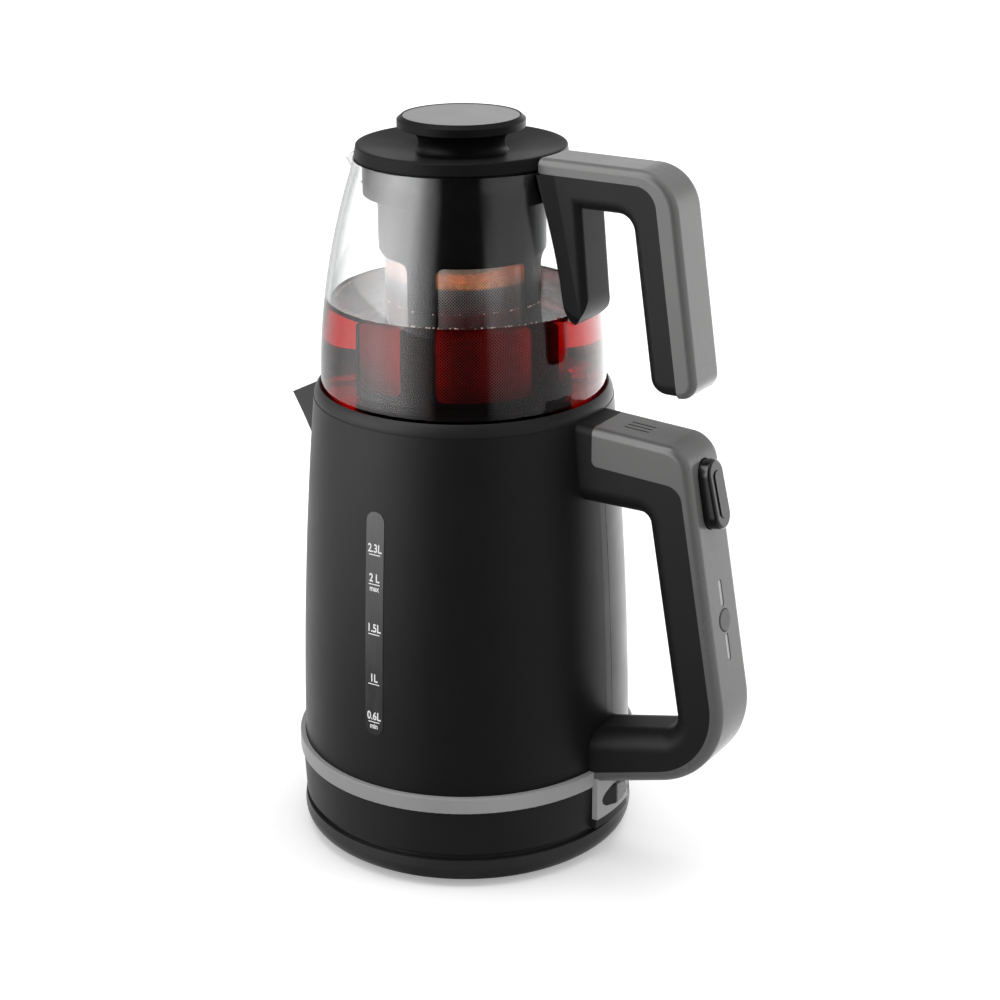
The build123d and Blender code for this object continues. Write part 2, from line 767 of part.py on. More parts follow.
plate_radius = body_foot_radius - shell_wall - seat_gap - 0.1
plate_rest = band_top + heater_rise
with BuildPart() as heater_plate:
    with BuildSketch(Plane.XY.offset(plate_rest)):
        Circle(plate_radius)
        with Locations((steam_tube_offset, 0)):
            Circle(steam_tube_radius + seat_gap, mode=Mode.SUBTRACT)
    extrude(amount=heater_thickness)
    with BuildSketch(Plane.XY.offset(band_top)):
        Circle(plate_radius)
        Circle(spigot_outer - skirt_wall, mode=Mode.SUBTRACT)
    extrude(amount=heater_rise)
heater_plate.part.label = "heater_plate"
export_step(heater_plate.part, "parts/heater_plate.step")

with BuildPart() as heat_spreader:
    with BuildSketch(Plane.XY.offset(plate_rest)):
        Circle(diffuser_radius)
        with Locations((steam_tube_offset, 0)):
            Circle(steam_tube_radius + 2 * running_gap, mode=Mode.SUBTRACT)
    extrude(amount=-diffuser_thickness)
heat_spreader.part.label = "heat_spreader"
export_step(heat_spreader.part, "parts/heat_spreader.step")

spreader_bottom = plate_rest - diffuser_thickness
with BuildPart() as heating_element:
    with BuildSketch(Plane.XZ):
        with Locations((element_circle, spreader_bottom - element_radius)):
            Circle(element_radius)
    revolve(axis=Axis.Z, revolution_arc=360 - element_opening)
heating_element = heating_element.part.rotate(Axis.Z, 180 + element_opening / 2)
heating_element.label = "heating_element"
export_step(heating_element, "parts/heating_element.step")

with BuildPart() as thermostat_control:
    with BuildSketch(Plane.XY.offset(socket_top)):
        Circle(socket_radius + boss_radius)
    extrude(amount=spreader_bottom - socket_top)
    with BuildSketch(Plane.XY.offset(socket_top)):
        Rectangle(2 * socket_radius, terminal_width)
    extrude(amount=terminal_height, mode=Mode.SUBTRACT)
thermostat_control.part.label = "thermostat_control"
export_step(thermostat_control.part, "parts/thermostat_control.step")

with BuildPart() as temperature_sensor:
    with BuildSketch(Plane.XY.offset(vessel_floor)):
        with Locations((0, steam_tube_offset / 2)):
            Circle(sensor_radius)
    extrude(amount=sensor_height)
    fillet(temperature_sensor.edges().group_by(Axis.Z)[-1], radius=1.5)
temperature_sensor.part.label = "temperature_sensor"
export_step(temperature_sensor.part, "parts/temperature_sensor.step")

with BuildPart() as steam_tube:
    with BuildSketch(Plane.XY.offset(spreader_bottom)):
        with Locations((steam_tube_offset, 0)):
            Circle(steam_tube_radius)
            Circle(steam_tube_radius - steam_tube_wall, mode=Mode.SUBTRACT)
    extrude(amount=steam_tube_height)
steam_tube.part.label = "steam_tube"
export_step(steam_tube.part, "parts/steam_tube.step")

# ---- kettle: vessel, window, spout and collar ------------------------------------------

with BuildPart() as kettle_shell:
    add(body_sleeve(band_top, body_top, 0, shell_wall))
    with BuildSketch(Plane.XZ):
        with Locations((0, window_middle)):
            SlotOverall(window_length, window_width, rotation=90)
    extrude(amount=band_radius, mode=Mode.SUBTRACT)
    with BuildSketch(Plane.YZ):
        with Locations((0, (mouth_low + mouth_high) / 2)):
            RectangleRounded(2 * mouth_half_width, mouth_high - mouth_low, mouth_half_width / 2)
    extrude(amount=-band_radius, mode=Mode.SUBTRACT)
kettle_shell.part.label = "kettle_shell"
export_step(kettle_shell.part, "parts/kettle_shell.step")

with BuildPart() as level_window:
    add(body_sleeve(window_low, window_high, -window_proud, window_thickness))
    with BuildSketch(Plane.XZ):
        with Locations((0, window_middle)):
            SlotOverall(window_length - 2 * seat_gap, window_width - 2 * seat_gap, rotation=90)
    extrude(amount=band_radius, mode=Mode.INTERSECT)
level_window.part.label = "level_window"
export_step(level_window.part, "parts/level_window.step")

with BuildPart() as window_seal:
    seal_reach = 2 * window_seal_width
    add(
        body_sleeve(
            window_low - seal_reach,
            window_high + seal_reach,
            shell_wall + seat_gap,
            window_seal_thickness,
        )
    )
    with BuildSketch(Plane.XZ):
        with Locations((0, window_middle)):
            SlotOverall(window_length + seal_reach, window_width + seal_reach, rotation=90)
            SlotOverall(window_length, window_width, rotation=90, mode=Mode.SUBTRACT)
    extrude(amount=band_radius, mode=Mode.INTERSECT)
window_seal.part.label = "window_seal"
export_step(window_seal.part, "parts/window_seal.step")


def beak(levels, hidden, tip_radius):
    """A loft of rounded wedges that point to -X, one for each height, reach and half width."""
    with BuildPart() as blank:
        for height, reach, half_width in levels:
            with BuildSketch(Plane.XY.offset(height)) as section:
                with BuildLine():
                    Polyline(
                        (-reach, 0),
                        (-hidden, half_width),
                        (-hidden, -half_width),
                        close=True,
                    )
                make_face()
                fillet(section.vertices().sort_by(Axis.X)[0], radius=tip_radius)
        loft()
    return blank.part


spout_root_reach = body_radius(spout_root_height) + 1.0
spout_high = spout_rim_height + spout_trim
spout_levels = (
    (spout_root_height, spout_root_reach, spout_root_half_width / 4),
    (
        (spout_root_height + spout_tip_height) / 2,
        spout_root_reach + spout_sweep * (spout_reach - spout_root_reach),
        spout_root_half_width / 1.9,
    ),
    (
        spout_high,
        spout_reach + (spout_high - spout_tip_height) * spout_tip_lean,
        spout_root_half_width * 1.1,
    ),
)
channel_levels = tuple(
    (height + spout_wall, reach - 2 * spout_wall, half_width - spout_wall)
    for height, reach, half_width in spout_levels
)
spout_hidden = body_top_radius - spout_trim
rim_plane = Plane(
    origin=(-spout_reach, 0, spout_tip_height), x_dir=(0, 1, 0), z_dir=(-spout_dip, 0, spout_projection)
)

with BuildPart() as spout:
    add(beak(spout_levels, spout_hidden, spout_tip_radius))
    add(beak(channel_levels, spout_hidden - 1, spout_tip_radius / 2), mode=Mode.SUBTRACT)
    split(bisect_by=rim_plane, keep=Keep.BOTTOM)
    add(kettle_envelope(seat_gap), mode=Mode.SUBTRACT)
spout.part.label = "spout"
export_step(spout.part, "parts/spout.step")

with BuildPart() as spout_filter:
    add(
        body_sleeve(
            mouth_low - filter_margin,
            mouth_high + filter_margin,
            shell_wall + seat_gap,
            filter_thickness,
        )
    )
    with BuildSketch(Plane.YZ):
        with Locations((0, (mouth_low + mouth_high) / 2)):
            Rectangle(2 * (mouth_half_width + filter_margin), window_length)
    extrude(amount=-band_radius, mode=Mode.INTERSECT)
spout_filter.part.label = "spout_filter"
export_step(spout_filter.part, "parts/spout_filter.step")

shell_inset = shell_wall + seat_gap
flange_bottom = collar_floor - collar_flange
with BuildPart() as collar_ring:
    with BuildSketch(Plane.XZ):
        with BuildLine():
            shoulder = body_top_radius - 0.3
            fit = body_wall_arc(flange_bottom, body_top, shell_inset)
            brow = ThreePointArc(
                (shoulder, body_top),
                (shoulder - 0.7, (body_top + collar_crest) / 2 + 0.8),
                (collar_crest_radius, collar_crest),
            )
            Line(fit @ 1, brow @ 0)
            Polyline(
                brow @ 1,
                (collar_mouth_radius, collar_crest - collar_round),
                *[(collar_mouth_radius - inward, collar_crest - down) for inward, down in mouth_steps],
                (collar_mouth_radius - mouth_foot, collar_floor),
                (collar_hole_radius, collar_floor),
                (collar_hole_radius, flange_bottom),
                fit @ 0,
            )
        make_face()
    revolve(axis=Axis.Z)
    with BuildSketch(Plane.XY.offset(collar_floor)):
        Circle(gasket_outer + seat_gap)
        Circle(gasket_inner - seat_gap, mode=Mode.SUBTRACT)
    extrude(amount=-gasket_depth, mode=Mode.SUBTRACT)
collar_ring.part.label = "collar_ring"
export_step(collar_ring.part, "parts/collar_ring.step")

with BuildPart() as seat_gasket:
    with BuildSketch(Plane.XY.offset(collar_floor - gasket_depth)):
        Circle(gasket_outer)
        Circle(gasket_inner, mode=Mode.SUBTRACT)
    extrude(amount=gasket_depth + gasket_rise)
seat_gasket.part.label = "seat_gasket"
export_step(seat_gasket.part, "parts/seat_gasket.step")

# ---- kettle handle ----------------------------------------------------------------------

face_stretch = sqrt(1 + grip_lean * grip_lean)
low_stretch = sqrt(1 + low_arm_slope * low_arm_slope)


def grip_face(height):
    """How far out the grip's outer face is at a height."""
    return grip_outer + (grip_reference - height) * grip_lean


def face_plane(height, depth):
    """A plane parallel to the grip's outer face, x across the grip and y up it."""
    normal = Vector(1, 0, grip_lean).normalized()
    return Plane(
        origin=Vector(grip_face(height), 0, height) - normal * depth,
        x_dir=(0, 1, 0),
        z_dir=normal,
    )


def low_crossing(depth, start, reach, slope):
    """Where a line parallel to the outer face meets a sloping line of the low arm."""
    face = grip_outer - depth * face_stretch + grip_reference * grip_lean
    height = (start + (face - reach) * slope) / (1 + slope * grip_lean)
    return face - height * grip_lean, height


def arm_line(reach, depth):
    """Height of a line below the top arm's top, which falls outwards with it."""
    return handle_top - depth - (reach - body_top_radius) * arm_slope


def arm_plane(reach, depth):
    """A plane parallel to the top arm's top, x outwards along it."""
    return Plane(
        origin=(reach, 0, arm_line(reach, depth)),
        x_dir=(1, 0, -arm_slope),
        z_dir=(arm_slope, 0, 1),
    )


def arm_crossing(depth, top_depth):
    """Where a line parallel to the outer face meets a line of the top arm."""
    face = grip_outer - depth * face_stretch + grip_reference * grip_lean
    reach = (face - arm_line(0, top_depth) * grip_lean) / (1 - grip_lean * arm_slope)
    return reach, arm_line(reach, top_depth)


def handle_path(depth, top_depth, start):
    """The handle's outer line, moved inwards, from the top arm round to the low arm."""
    rise = depth * low_stretch
    corner = low_crossing(depth, low_arm_start + rise, low_arm_reach, low_arm_slope)
    end_height = low_arm_start + rise + (handle_end - low_arm_reach) * low_arm_slope
    return FilletPolyline(
        (start, arm_line(start, top_depth)),
        arm_crossing(depth, top_depth),
        corner,
        (handle_end, end_height),
        radius=(top_corner - depth, low_corner - depth),
    )


def on_gap_side(edge):
    """True for the edges round the finger gap."""
    middle = edge.center()
    inside_grip = middle.X < grip_face(middle.Z) - grip_thickness / 2
    return inside_grip and low_arm_start + gap_low_corner < middle.Z < arm_underside + gap_top_corner


def handle_blank():
    """The whole handle before it is split into its grip core and outer shell."""
    gap_corner = low_crossing(grip_thickness, low_arm_top, low_arm_top_reach, low_arm_top_slope)
    with BuildPart() as blank:
        with BuildSketch(Plane.XZ):
            with BuildLine():
                outside = handle_path(0, 0, handle_end)
                root_top = low_arm_top + (handle_end - low_arm_top_reach) * low_arm_top_slope
                gap = FilletPolyline(
                    (handle_end, root_top),
                    gap_corner,
                    (grip_face(arm_underside) - grip_thickness * face_stretch, arm_underside),
                    (handle_end, arm_underside),
                    radius=(gap_low_corner, gap_top_corner),
                )
                Line(outside @ 1, gap @ 0)
                Line(gap @ 1, outside @ 0)
            make_face()
        extrude(amount=handle_width / 2, both=True)
        rims = blank.edges().filter_by(
            lambda edge: abs(abs(edge.center().Y) - handle_width / 2) < 0.01
            and edge.center().X > handle_end + 0.1
        )
        gap_rims = rims.filter_by(on_gap_side)
        fillet(gap_rims, radius=inner_edge_round)
        rims = blank.edges().filter_by(
            lambda edge: abs(abs(edge.center().Y) - handle_width / 2) < 0.01
            and edge.center().X > handle_end + 0.1
        )
        fillet(rims.filter_by(lambda edge: not on_gap_side(edge)), radius=outer_edge_round)
    return blank.part


def cap_region(depth, top_depth, start, half_width):
    """Everything outside the line where the outer shell meets the grip core."""
    with BuildPart() as region:
        with BuildSketch(Plane.XZ) as outline:
            with BuildLine():
                path = handle_path(depth, top_depth, start)
                far = grip_face(0) + handle_width
                Polyline(
                    path @ 1,
                    (handle_end, 0),
                    (far, 0),
                    (far, handle_top + handle_width),
                    (start, handle_top + handle_width),
                    path @ 0,
                )
            make_face()
            end_corner = (start, arm_line(start, top_depth), 0)
            fillet(outline.vertices().sort_by_distance(end_corner)[0], radius=cap_corner)
        extrude(amount=half_width, both=True)
    return region.part


def anchor_plates(margin):
    """Curved steel plates on the vessel that the two ends of the handle hook over."""
    middles = ((arm_underside + handle_top) / 2, band_top + anchor_rise)
    with BuildPart() as plates:
        for middle in middles:
            low = middle - anchor_height / 2 - margin
            high = middle + anchor_height / 2 + margin
            with BuildPart(mode=Mode.PRIVATE) as plate:
                thickness = anchor_thickness + margin
                add(body_sleeve(low, high, -seat_gap - thickness, thickness))
                with BuildSketch(Plane.YZ):
                    with Locations((0, middle)):
                        Rectangle(anchor_width + 2 * margin, anchor_height + 3 * margin)
                extrude(amount=band_radius * 2, mode=Mode.INTERSECT)
            add(plate.part)
    return plates.part


whole_handle = handle_blank()
shell_region = cap_region(shell_depth, cap_depth, cap_start, handle_width)

handle_screw_planes = [
    Plane(
        origin=(reach, 0, low_arm_start + (reach - low_arm_reach) * low_arm_slope),
        x_dir=(0, 1, 0),
        z_dir=(low_arm_slope, 0, -1),
    )
    for reach in (low_arm_reach + offset for offset in handle_screw_offsets)
]
handle_screw_length = 15.0

with BuildPart() as handle_core:
    add(whole_handle)
    add(shell_region, mode=Mode.SUBTRACT)
    add(kettle_envelope(seat_gap), mode=Mode.SUBTRACT)
    add(anchor_plates(seat_gap), mode=Mode.SUBTRACT)
    board_floor = shell_depth + channel_depth
    channel_low = board_low - 1.0
    channel_high = board_high + 1.0
    with BuildSketch(Plane.XZ):
        with BuildLine():
            Polyline(
                (grip_face(channel_low) - board_floor * face_stretch, channel_low),
                (grip_face(channel_low) + shell_depth, channel_low),
                (grip_face(channel_high) + shell_depth, channel_high),
                (grip_face(channel_high) - board_floor * face_stretch, channel_high),
                close=True,
            )
        make_face()
    extrude(amount=channel_half_width, both=True, mode=Mode.SUBTRACT)
    for screw_plane in handle_screw_planes:
        with BuildSketch(screw_plane):
            Circle(screw_radius + screw_gap)
        extrude(amount=-handle_screw_length - shell_depth, mode=Mode.SUBTRACT)
handle_core.part.label = "handle_core"
export_step(handle_core.part, "parts/handle_core.step")

button_plane = face_plane(button_height, 0)
key_plane = face_plane(key_height, 0)
press_axis = Axis((0, 0, 0), (1, 0, grip_lean))
slot_offsets = [(index - (slot_count - 1) / 2) * slot_pitch for index in range(slot_count)]

with BuildPart() as handle_shell:
    add(whole_handle)
    add(shell_region, mode=Mode.INTERSECT)
    add(kettle_envelope(seat_gap), mode=Mode.SUBTRACT)
    with BuildPart(mode=Mode.PRIVATE) as cavity:
        with BuildSketch(Plane.XZ):
            with BuildLine():
                skin_path = handle_path(shell_skin, shell_skin, handle_end)
                Line(skin_path @ 1, skin_path @ 0)
            make_face()
        extrude(amount=cavity_half_width, both=True)
        with BuildSketch(Plane.XZ):
            with Locations((cap_start + shell_skin, board_low - channel_margin)):
                Rectangle(handle_top, handle_top, align=(Align.MIN, Align.MIN))
        extrude(amount=handle_width, both=True, mode=Mode.INTERSECT)
    add(cavity.part, mode=Mode.SUBTRACT)
    with BuildSketch(button_plane):
        SlotOverall(button_length + 2 * running_gap, button_width + 2 * running_gap, rotation=90)
    extrude(amount=shell_depth, both=True, mode=Mode.SUBTRACT)
    with BuildSketch(key_plane):
        Circle(key_radius + running_gap)
        with Locations((0, lens_offset), (0, -lens_offset)):
            SlotOverall(lens_length, lens_width, rotation=90)
    extrude(amount=shell_depth, both=True, mode=Mode.SUBTRACT)
    with BuildSketch(arm_plane(slot_centre, 0)):
        with Locations(*[(0, offset) for offset in slot_offsets]):
            SlotOverall(slot_length, slot_width)
    extrude(amount=-2 * shell_skin, mode=Mode.SUBTRACT)
    for screw_plane in handle_screw_planes:
        with BuildSketch(screw_plane):
            Circle(screw_radius + screw_gap)
        extrude(amount=-2 * shell_depth, mode=Mode.SUBTRACT)
        with BuildSketch(screw_plane):
            Circle(screw_head_radius + screw_gap)
        extrude(amount=-screw_head_height - 1, mode=Mode.SUBTRACT)
handle_shell.part.label = "handle_shell"
export_step(handle_shell.part, "parts/handle_shell.step")

with BuildPart() as handle_anchors:
    add(anchor_plates(0))
handle_anchors.part.label = "handle_anchors"
export_step(handle_anchors.part, "parts/handle_anchors.step")

with BuildPart() as handle_screws:
    for screw_plane in handle_screw_planes:
        with BuildSketch(screw_plane.offset(-1)):
            Circle(screw_head_radius)
        extrude(amount=-screw_head_height)
        with BuildSketch(screw_plane.offset(-1 - screw_head_height)):
            Circle(screw_radius)
        extrude(amount=-handle_screw_length)
handle_screws.part.label = "handle_screws"
export_step(handle_screws.part, "parts/handle_screws.step")

# ---- controls in the kettle handle -------------------------------------------------------

board_face = board_floor - board_thickness

with BuildPart() as control_board:
    with BuildSketch(Plane.XZ):
        with BuildLine():
            Polyline(
                (grip_face(board_low) - board_floor * face_stretch, board_low),
                (grip_face(board_low) - board_face * face_stretch, board_low),
                (grip_face(board_high) - board_face * face_stretch, board_high),
                (grip_face(board_high) - board_floor * face_stretch, board_high),
                close=True,
            )
        make_face()
    extrude(amount=board_half_width, both=True)
control_board.part.label = "control_board"
export_step(control_board.part, "parts/control_board.step")

button_back = shell_skin + 1.8
button_face = Plane(
    origin=face_plane(button_height, -button_proud).origin,
    x_dir=(0, 1, 0),
    z_dir=(1, 0, grip_lean + button_wedge),
)
with BuildPart() as thumb_button:
    with BuildSketch(face_plane(button_height, button_back)):
        SlotOverall(button_length, button_width, rotation=90)
    extrude(amount=button_back + 2 * button_proud)
    split(bisect_by=button_face.offset(-button_step), keep=Keep.BOTTOM)
    fillet(thumb_button.faces().sort_by(press_axis)[-1].edges(), radius=button_rim)
    with BuildSketch(button_face.offset(-2 * button_step)):
        SlotOverall(button_inset_length, button_inset_width, rotation=90)
    extrude(amount=2 * button_step, taper=30)
    with BuildSketch(face_plane(button_height, button_back)):
        Rectangle(button_width + 2 * button_lip, button_length / 2)
    extrude(amount=button_back - shell_skin - running_gap)
thumb_button.part.label = "thumb_button"
export_step(thumb_button.part, "parts/thumb_button.step")

with BuildPart() as microswitch:
    with BuildSketch(face_plane(button_height - 2, board_face)):
        Rectangle(switch_width, switch_length)
    extrude(amount=board_face - button_back - button_travel - running_gap)
microswitch.part.label = "microswitch"
export_step(microswitch.part, "parts/microswitch.step")

key_back = shell_skin + 1.4
with BuildPart() as round_key:
    with BuildSketch(face_plane(key_height, key_back)):
        Circle(key_radius)
    extrude(amount=key_back + key_proud)
    fillet(round_key.faces().sort_by(press_axis)[-1].edges(), radius=0.4)
    with BuildSketch(face_plane(key_height, key_back)):
        Circle(key_radius + 1)
    extrude(amount=key_back - shell_skin - running_gap)
round_key.part.label = "round_key"
export_step(round_key.part, "parts/round_key.step")

with BuildPart() as key_switch:
    with BuildSketch(face_plane(key_height, board_face)):
        Rectangle(key_switch_side, key_switch_side)
    extrude(amount=board_face - key_back - key_travel - running_gap)
key_switch.part.label = "key_switch"
export_step(key_switch.part, "parts/key_switch.step")

with BuildPart() as indicator_lenses:
    with BuildSketch(face_plane(key_height, board_face)):
        with Locations((0, lens_offset), (0, -lens_offset)):
            SlotOverall(lens_length - 2 * seat_gap, lens_width - 2 * seat_gap, rotation=90)
    extrude(amount=board_face - lens_recess)
indicator_lenses.part.label = "indicator_lenses"
export_step(indicator_lenses.part, "parts/indicator_lenses.step")

with BuildPart() as speaker:
    with BuildSketch(arm_plane(slot_centre, cap_depth)):
        Circle(speaker_radius)
    extrude(amount=speaker_height)
    with BuildSketch(arm_plane(slot_centre, cap_depth).offset(speaker_height)):
        Circle(speaker_radius / 2)
    extrude(amount=-1, mode=Mode.SUBTRACT)
speaker.part.label = "speaker"
export_step(speaker.part, "parts/speaker.step")

# ---- rocker switch under the handle -------------------------------------------------------

with BuildPart() as switch_panel:
    with BuildSketch(Plane.XY.offset(panel_bottom)):
        Circle(panel_radius)
        Circle(panel_inner_radius, mode=Mode.SUBTRACT)
        with Locations((panel_radius, 0)):
            Rectangle(panel_radius, 2 * panel_half_width, mode=Mode.INTERSECT)
    extrude(amount=panel_top - panel_bottom)
    add(kettle_envelope(seat_gap), mode=Mode.SUBTRACT)
    add(whole_handle, mode=Mode.SUBTRACT)
    with BuildSketch(Plane.YZ):
        with Locations((0, rocker_height)):
            Ellipse(rocker_opening_width, rocker_opening_height)
    extrude(amount=2 * panel_radius, mode=Mode.SUBTRACT)
switch_panel.part.label = "switch_panel"
export_step(switch_panel.part, "parts/switch_panel.step")

rocker_frame = Plane(
    origin=(rocker_pivot, 0, rocker_height),
    x_dir=Vector(1, 0, 0).rotate(Axis.Z, -rocker_throw),
    z_dir=(0, 0, 1),
)
rocker_half_width = rocker_opening_width - rocker_end_gap
with BuildPart() as rocker_switch:
    with BuildSketch(rocker_frame):
        with BuildLine():
            Polyline(
                (rocker_back - rocker_pivot, -rocker_half_width),
                (rocker_ridge - rocker_drop - rocker_pivot, -rocker_half_width),
                (rocker_ridge - rocker_pivot, 0),
                (rocker_ridge - rocker_drop - rocker_pivot, rocker_half_width),
                (rocker_back - rocker_pivot, rocker_half_width),
                close=True,
            )
        make_face()
    extrude(amount=rocker_opening_height, both=True)
    rocker_face = Plane(origin=rocker_frame.origin, x_dir=rocker_frame.y_dir, z_dir=rocker_frame.x_dir)
    with BuildSketch(rocker_face):
        Ellipse(rocker_half_width, rocker_opening_height - running_gap)
    extrude(amount=panel_radius, both=True, mode=Mode.INTERSECT)
    with BuildSketch(rocker_frame):
        Circle(pin_radius + pin_gap)
    extrude(amount=rocker_opening_height, both=True, mode=Mode.SUBTRACT)
rocker_switch.part.label = "rocker_switch"
export_step(rocker_switch.part, "parts/rocker_switch.step")

block_front = rocker_back - 3.0
with BuildPart() as switch_block:
    with BuildSketch(Plane.YZ.offset(block_front - block_depth)):
        with Locations((0, rocker_height)):
            Rectangle(2 * rocker_opening_width - 2 * seat_gap, block_high - block_low - 2 * seat_gap)
    extrude(amount=block_depth)
    ear_planes = (Plane.XY.offset(block_low + seat_gap), Plane.XY.offset(rocker_high + seat_gap))
    for ear_plane in ear_planes:
        with BuildSketch(ear_plane):
            with Locations((block_front, 0)):
                Rectangle(
                    rocker_pivot - block_front + 2 * pin_radius,
                    6 * pin_radius,
                    align=(Align.MIN, Align.CENTER),
                )
        extrude(amount=ear_thickness - 0.2 - 2 * seat_gap)
    with BuildSketch(Plane.XY.offset(block_low)):
        with Locations((rocker_pivot, 0)):
            Circle(pin_radius + screw_gap)
    extrude(amount=block_high - block_low, mode=Mode.SUBTRACT)
switch_block.part.label = "switch_block"
export_step(switch_block.part, "parts/switch_block.step")

with BuildPart() as rocker_pin:
    with BuildSketch(Plane.XY.offset(block_low + 2 * seat_gap)):
        with Locations((rocker_pivot, 0)):
            Circle(pin_radius)
    extrude(amount=block_high - block_low - 4 * seat_gap)
rocker_pin.part.label = "rocker_pin"
export_step(rocker_pin.part, "parts/rocker_pin.step")

# ---- glass teapot ---------------------------------------------------------------------------


def glass_side(inset, low):
    """The teapot's side from its widest height to the neck, as one arc."""
    return ThreePointArc(
        (glass_radius - inset, low),
        (glass_shoulder_radius - inset, glass_shoulder),
        (glass_neck_radius - inset, glass_neck),
    )


lip_levels = (
    (lip_root_height, glass_neck_radius + lip_root_gain, lip_half_width / 4),
    (
        (lip_root_height + glass_rim) / 2,
        (glass_neck_radius + lip_root_gain + lip_reach) / 2 - lip_hollow,
        lip_half_width / 1.5,
    ),
    (glass_rim + lip_wall, lip_reach + 2 * lip_hollow, 1.2 * lip_half_width),
)
lip_channel_levels = tuple(
    (height + lip_wall, reach - 2 * lip_wall, half_width - lip_wall)
    for height, reach, half_width in lip_levels
)
lip_hidden = glass_neck_radius - glass_wall - 1.0
lip_run = lip_reach - glass_rim_radius
lip_plane = Plane(
    origin=(-lip_reach, 0, lip_tip_height), x_dir=(0, 1, 0), z_dir=(-lip_fall, 0, lip_run)
)
corner_centre = glass_radius - glass_corner
corner_height = glass_bottom + glass_corner

with BuildPart() as glass_cavity:
    with BuildSketch(Plane.XZ):
        with BuildLine():
            inner_corner = CenterArc(
                (corner_centre, corner_height - glass_wall + glass_floor),
                glass_corner - glass_wall,
                -90,
                90,
            )
            inner_side = glass_side(glass_wall, glass_widest)
            Line(inner_corner @ 1, inner_side @ 0)
            Polyline(
                inner_side @ 1,
                (glass_rim_radius - glass_wall, glass_rim),
                (0, glass_rim),
                (0, (inner_corner @ 0).Y),
                inner_corner @ 0,
            )
        make_face()
    revolve(axis=Axis.Z)
    add(beak(lip_channel_levels, lip_hidden - 1, 1.0))

with BuildPart() as teapot_glass:
    add(beak(lip_levels, lip_hidden, 3.0))
    split(bisect_by=lip_plane, keep=Keep.BOTTOM)
    with BuildSketch(Plane.XZ):
        with BuildLine():
            outer_corner = CenterArc((corner_centre, corner_height), glass_corner, -90, 90)
            outer_side = glass_side(0, glass_widest)
            Line(outer_corner @ 1, outer_side @ 0)
            Polyline(
                outer_side @ 1,
                (glass_rim_radius, glass_rim),
                (0, glass_rim),
                (0, glass_bottom),
                outer_corner @ 0,
            )
        make_face()
    revolve(axis=Axis.Z)
    add(glass_cavity.part, mode=Mode.SUBTRACT)
teapot_glass.part.label = "teapot_glass"
export_step(teapot_glass.part, "parts/teapot_glass.step")

# ---- teapot handle --------------------------------------------------------------------------


def pot_face(height):
    """How far out the teapot grip's outer face is at a height."""
    return pot_outer + (pot_reference - height) * pot_lean


def pot_envelope(grow):
    """Everything inside the glass's outer surface."""
    with BuildPart() as envelope:
        with BuildSketch(Plane.XZ):
            with BuildLine():
                side = glass_side(-grow, glass_widest)
                Polyline(
                    side @ 1,
                    (glass_rim_radius + grow, glass_rim),
                    (0, glass_rim),
                    (0, glass_widest),
                    side @ 0,
                )
            make_face()
        revolve(axis=Axis.Z)
    return envelope.part


def pot_path(depth, top_depth):
    """The teapot handle's outer line, moved inwards, down to the grip's end."""
    top = pot_top - top_depth
    return FilletPolyline(
        (pot_arm_start, top),
        (pot_face(top) - depth, top),
        (pot_face(pot_end) - depth, pot_end),
        radius=pot_top_corner - depth,
    )


def pot_handle_blank(edge_round):
    """Arm and grip of the teapot handle, before the split into core and shell."""
    with BuildPart() as blank:
        with BuildSketch(Plane.XZ):
            with BuildLine():
                FilletPolyline(
                    (pot_arm_start, pot_top),
                    (pot_face(pot_top), pot_top),
                    (pot_face(pot_end), pot_end),
                    (pot_face(pot_end) - pot_thickness, pot_end),
                    (pot_face(pot_underside) - pot_thickness, pot_underside),
                    (pot_arm_start, pot_underside),
                    radius=(pot_top_corner, pot_end_outer, pot_end_inner, pot_gap_corner),
                )
                Line(
                    (pot_arm_start, pot_underside),
                    (pot_arm_start, pot_top),
                )
            make_face()
        extrude(amount=pot_width / 2, both=True)
        rims = blank.edges().filter_by(
            lambda edge: abs(abs(edge.center().Y) - pot_width / 2) < 0.01
            and edge.center().X > pot_arm_start + 0.1
        )
        fillet(rims, radius=edge_round)
    return blank.part


with BuildPart() as pot_region:
    with BuildSketch(Plane.XZ):
        with BuildLine():
            seam = pot_path(pot_shell_depth, pot_cap_depth)
            Polyline(
                seam @ 1,
                ((seam @ 1).X, pot_end - pot_width),
                (pot_face(0), pot_end - pot_width),
                (pot_face(0), pot_top + pot_width),
                ((seam @ 0).X, pot_top + pot_width),
                seam @ 0,
            )
        make_face()
    extrude(amount=pot_width, both=True)

with BuildPart() as lid_well:
    with BuildSketch(Plane.XY.offset(glass_rim - 1)):
        Circle(lid_radius + 2 * running_gap)
    extrude(amount=pot_width)
pot_screw_reach = (pot_face(pot_top) + glass_neck_radius) / 2

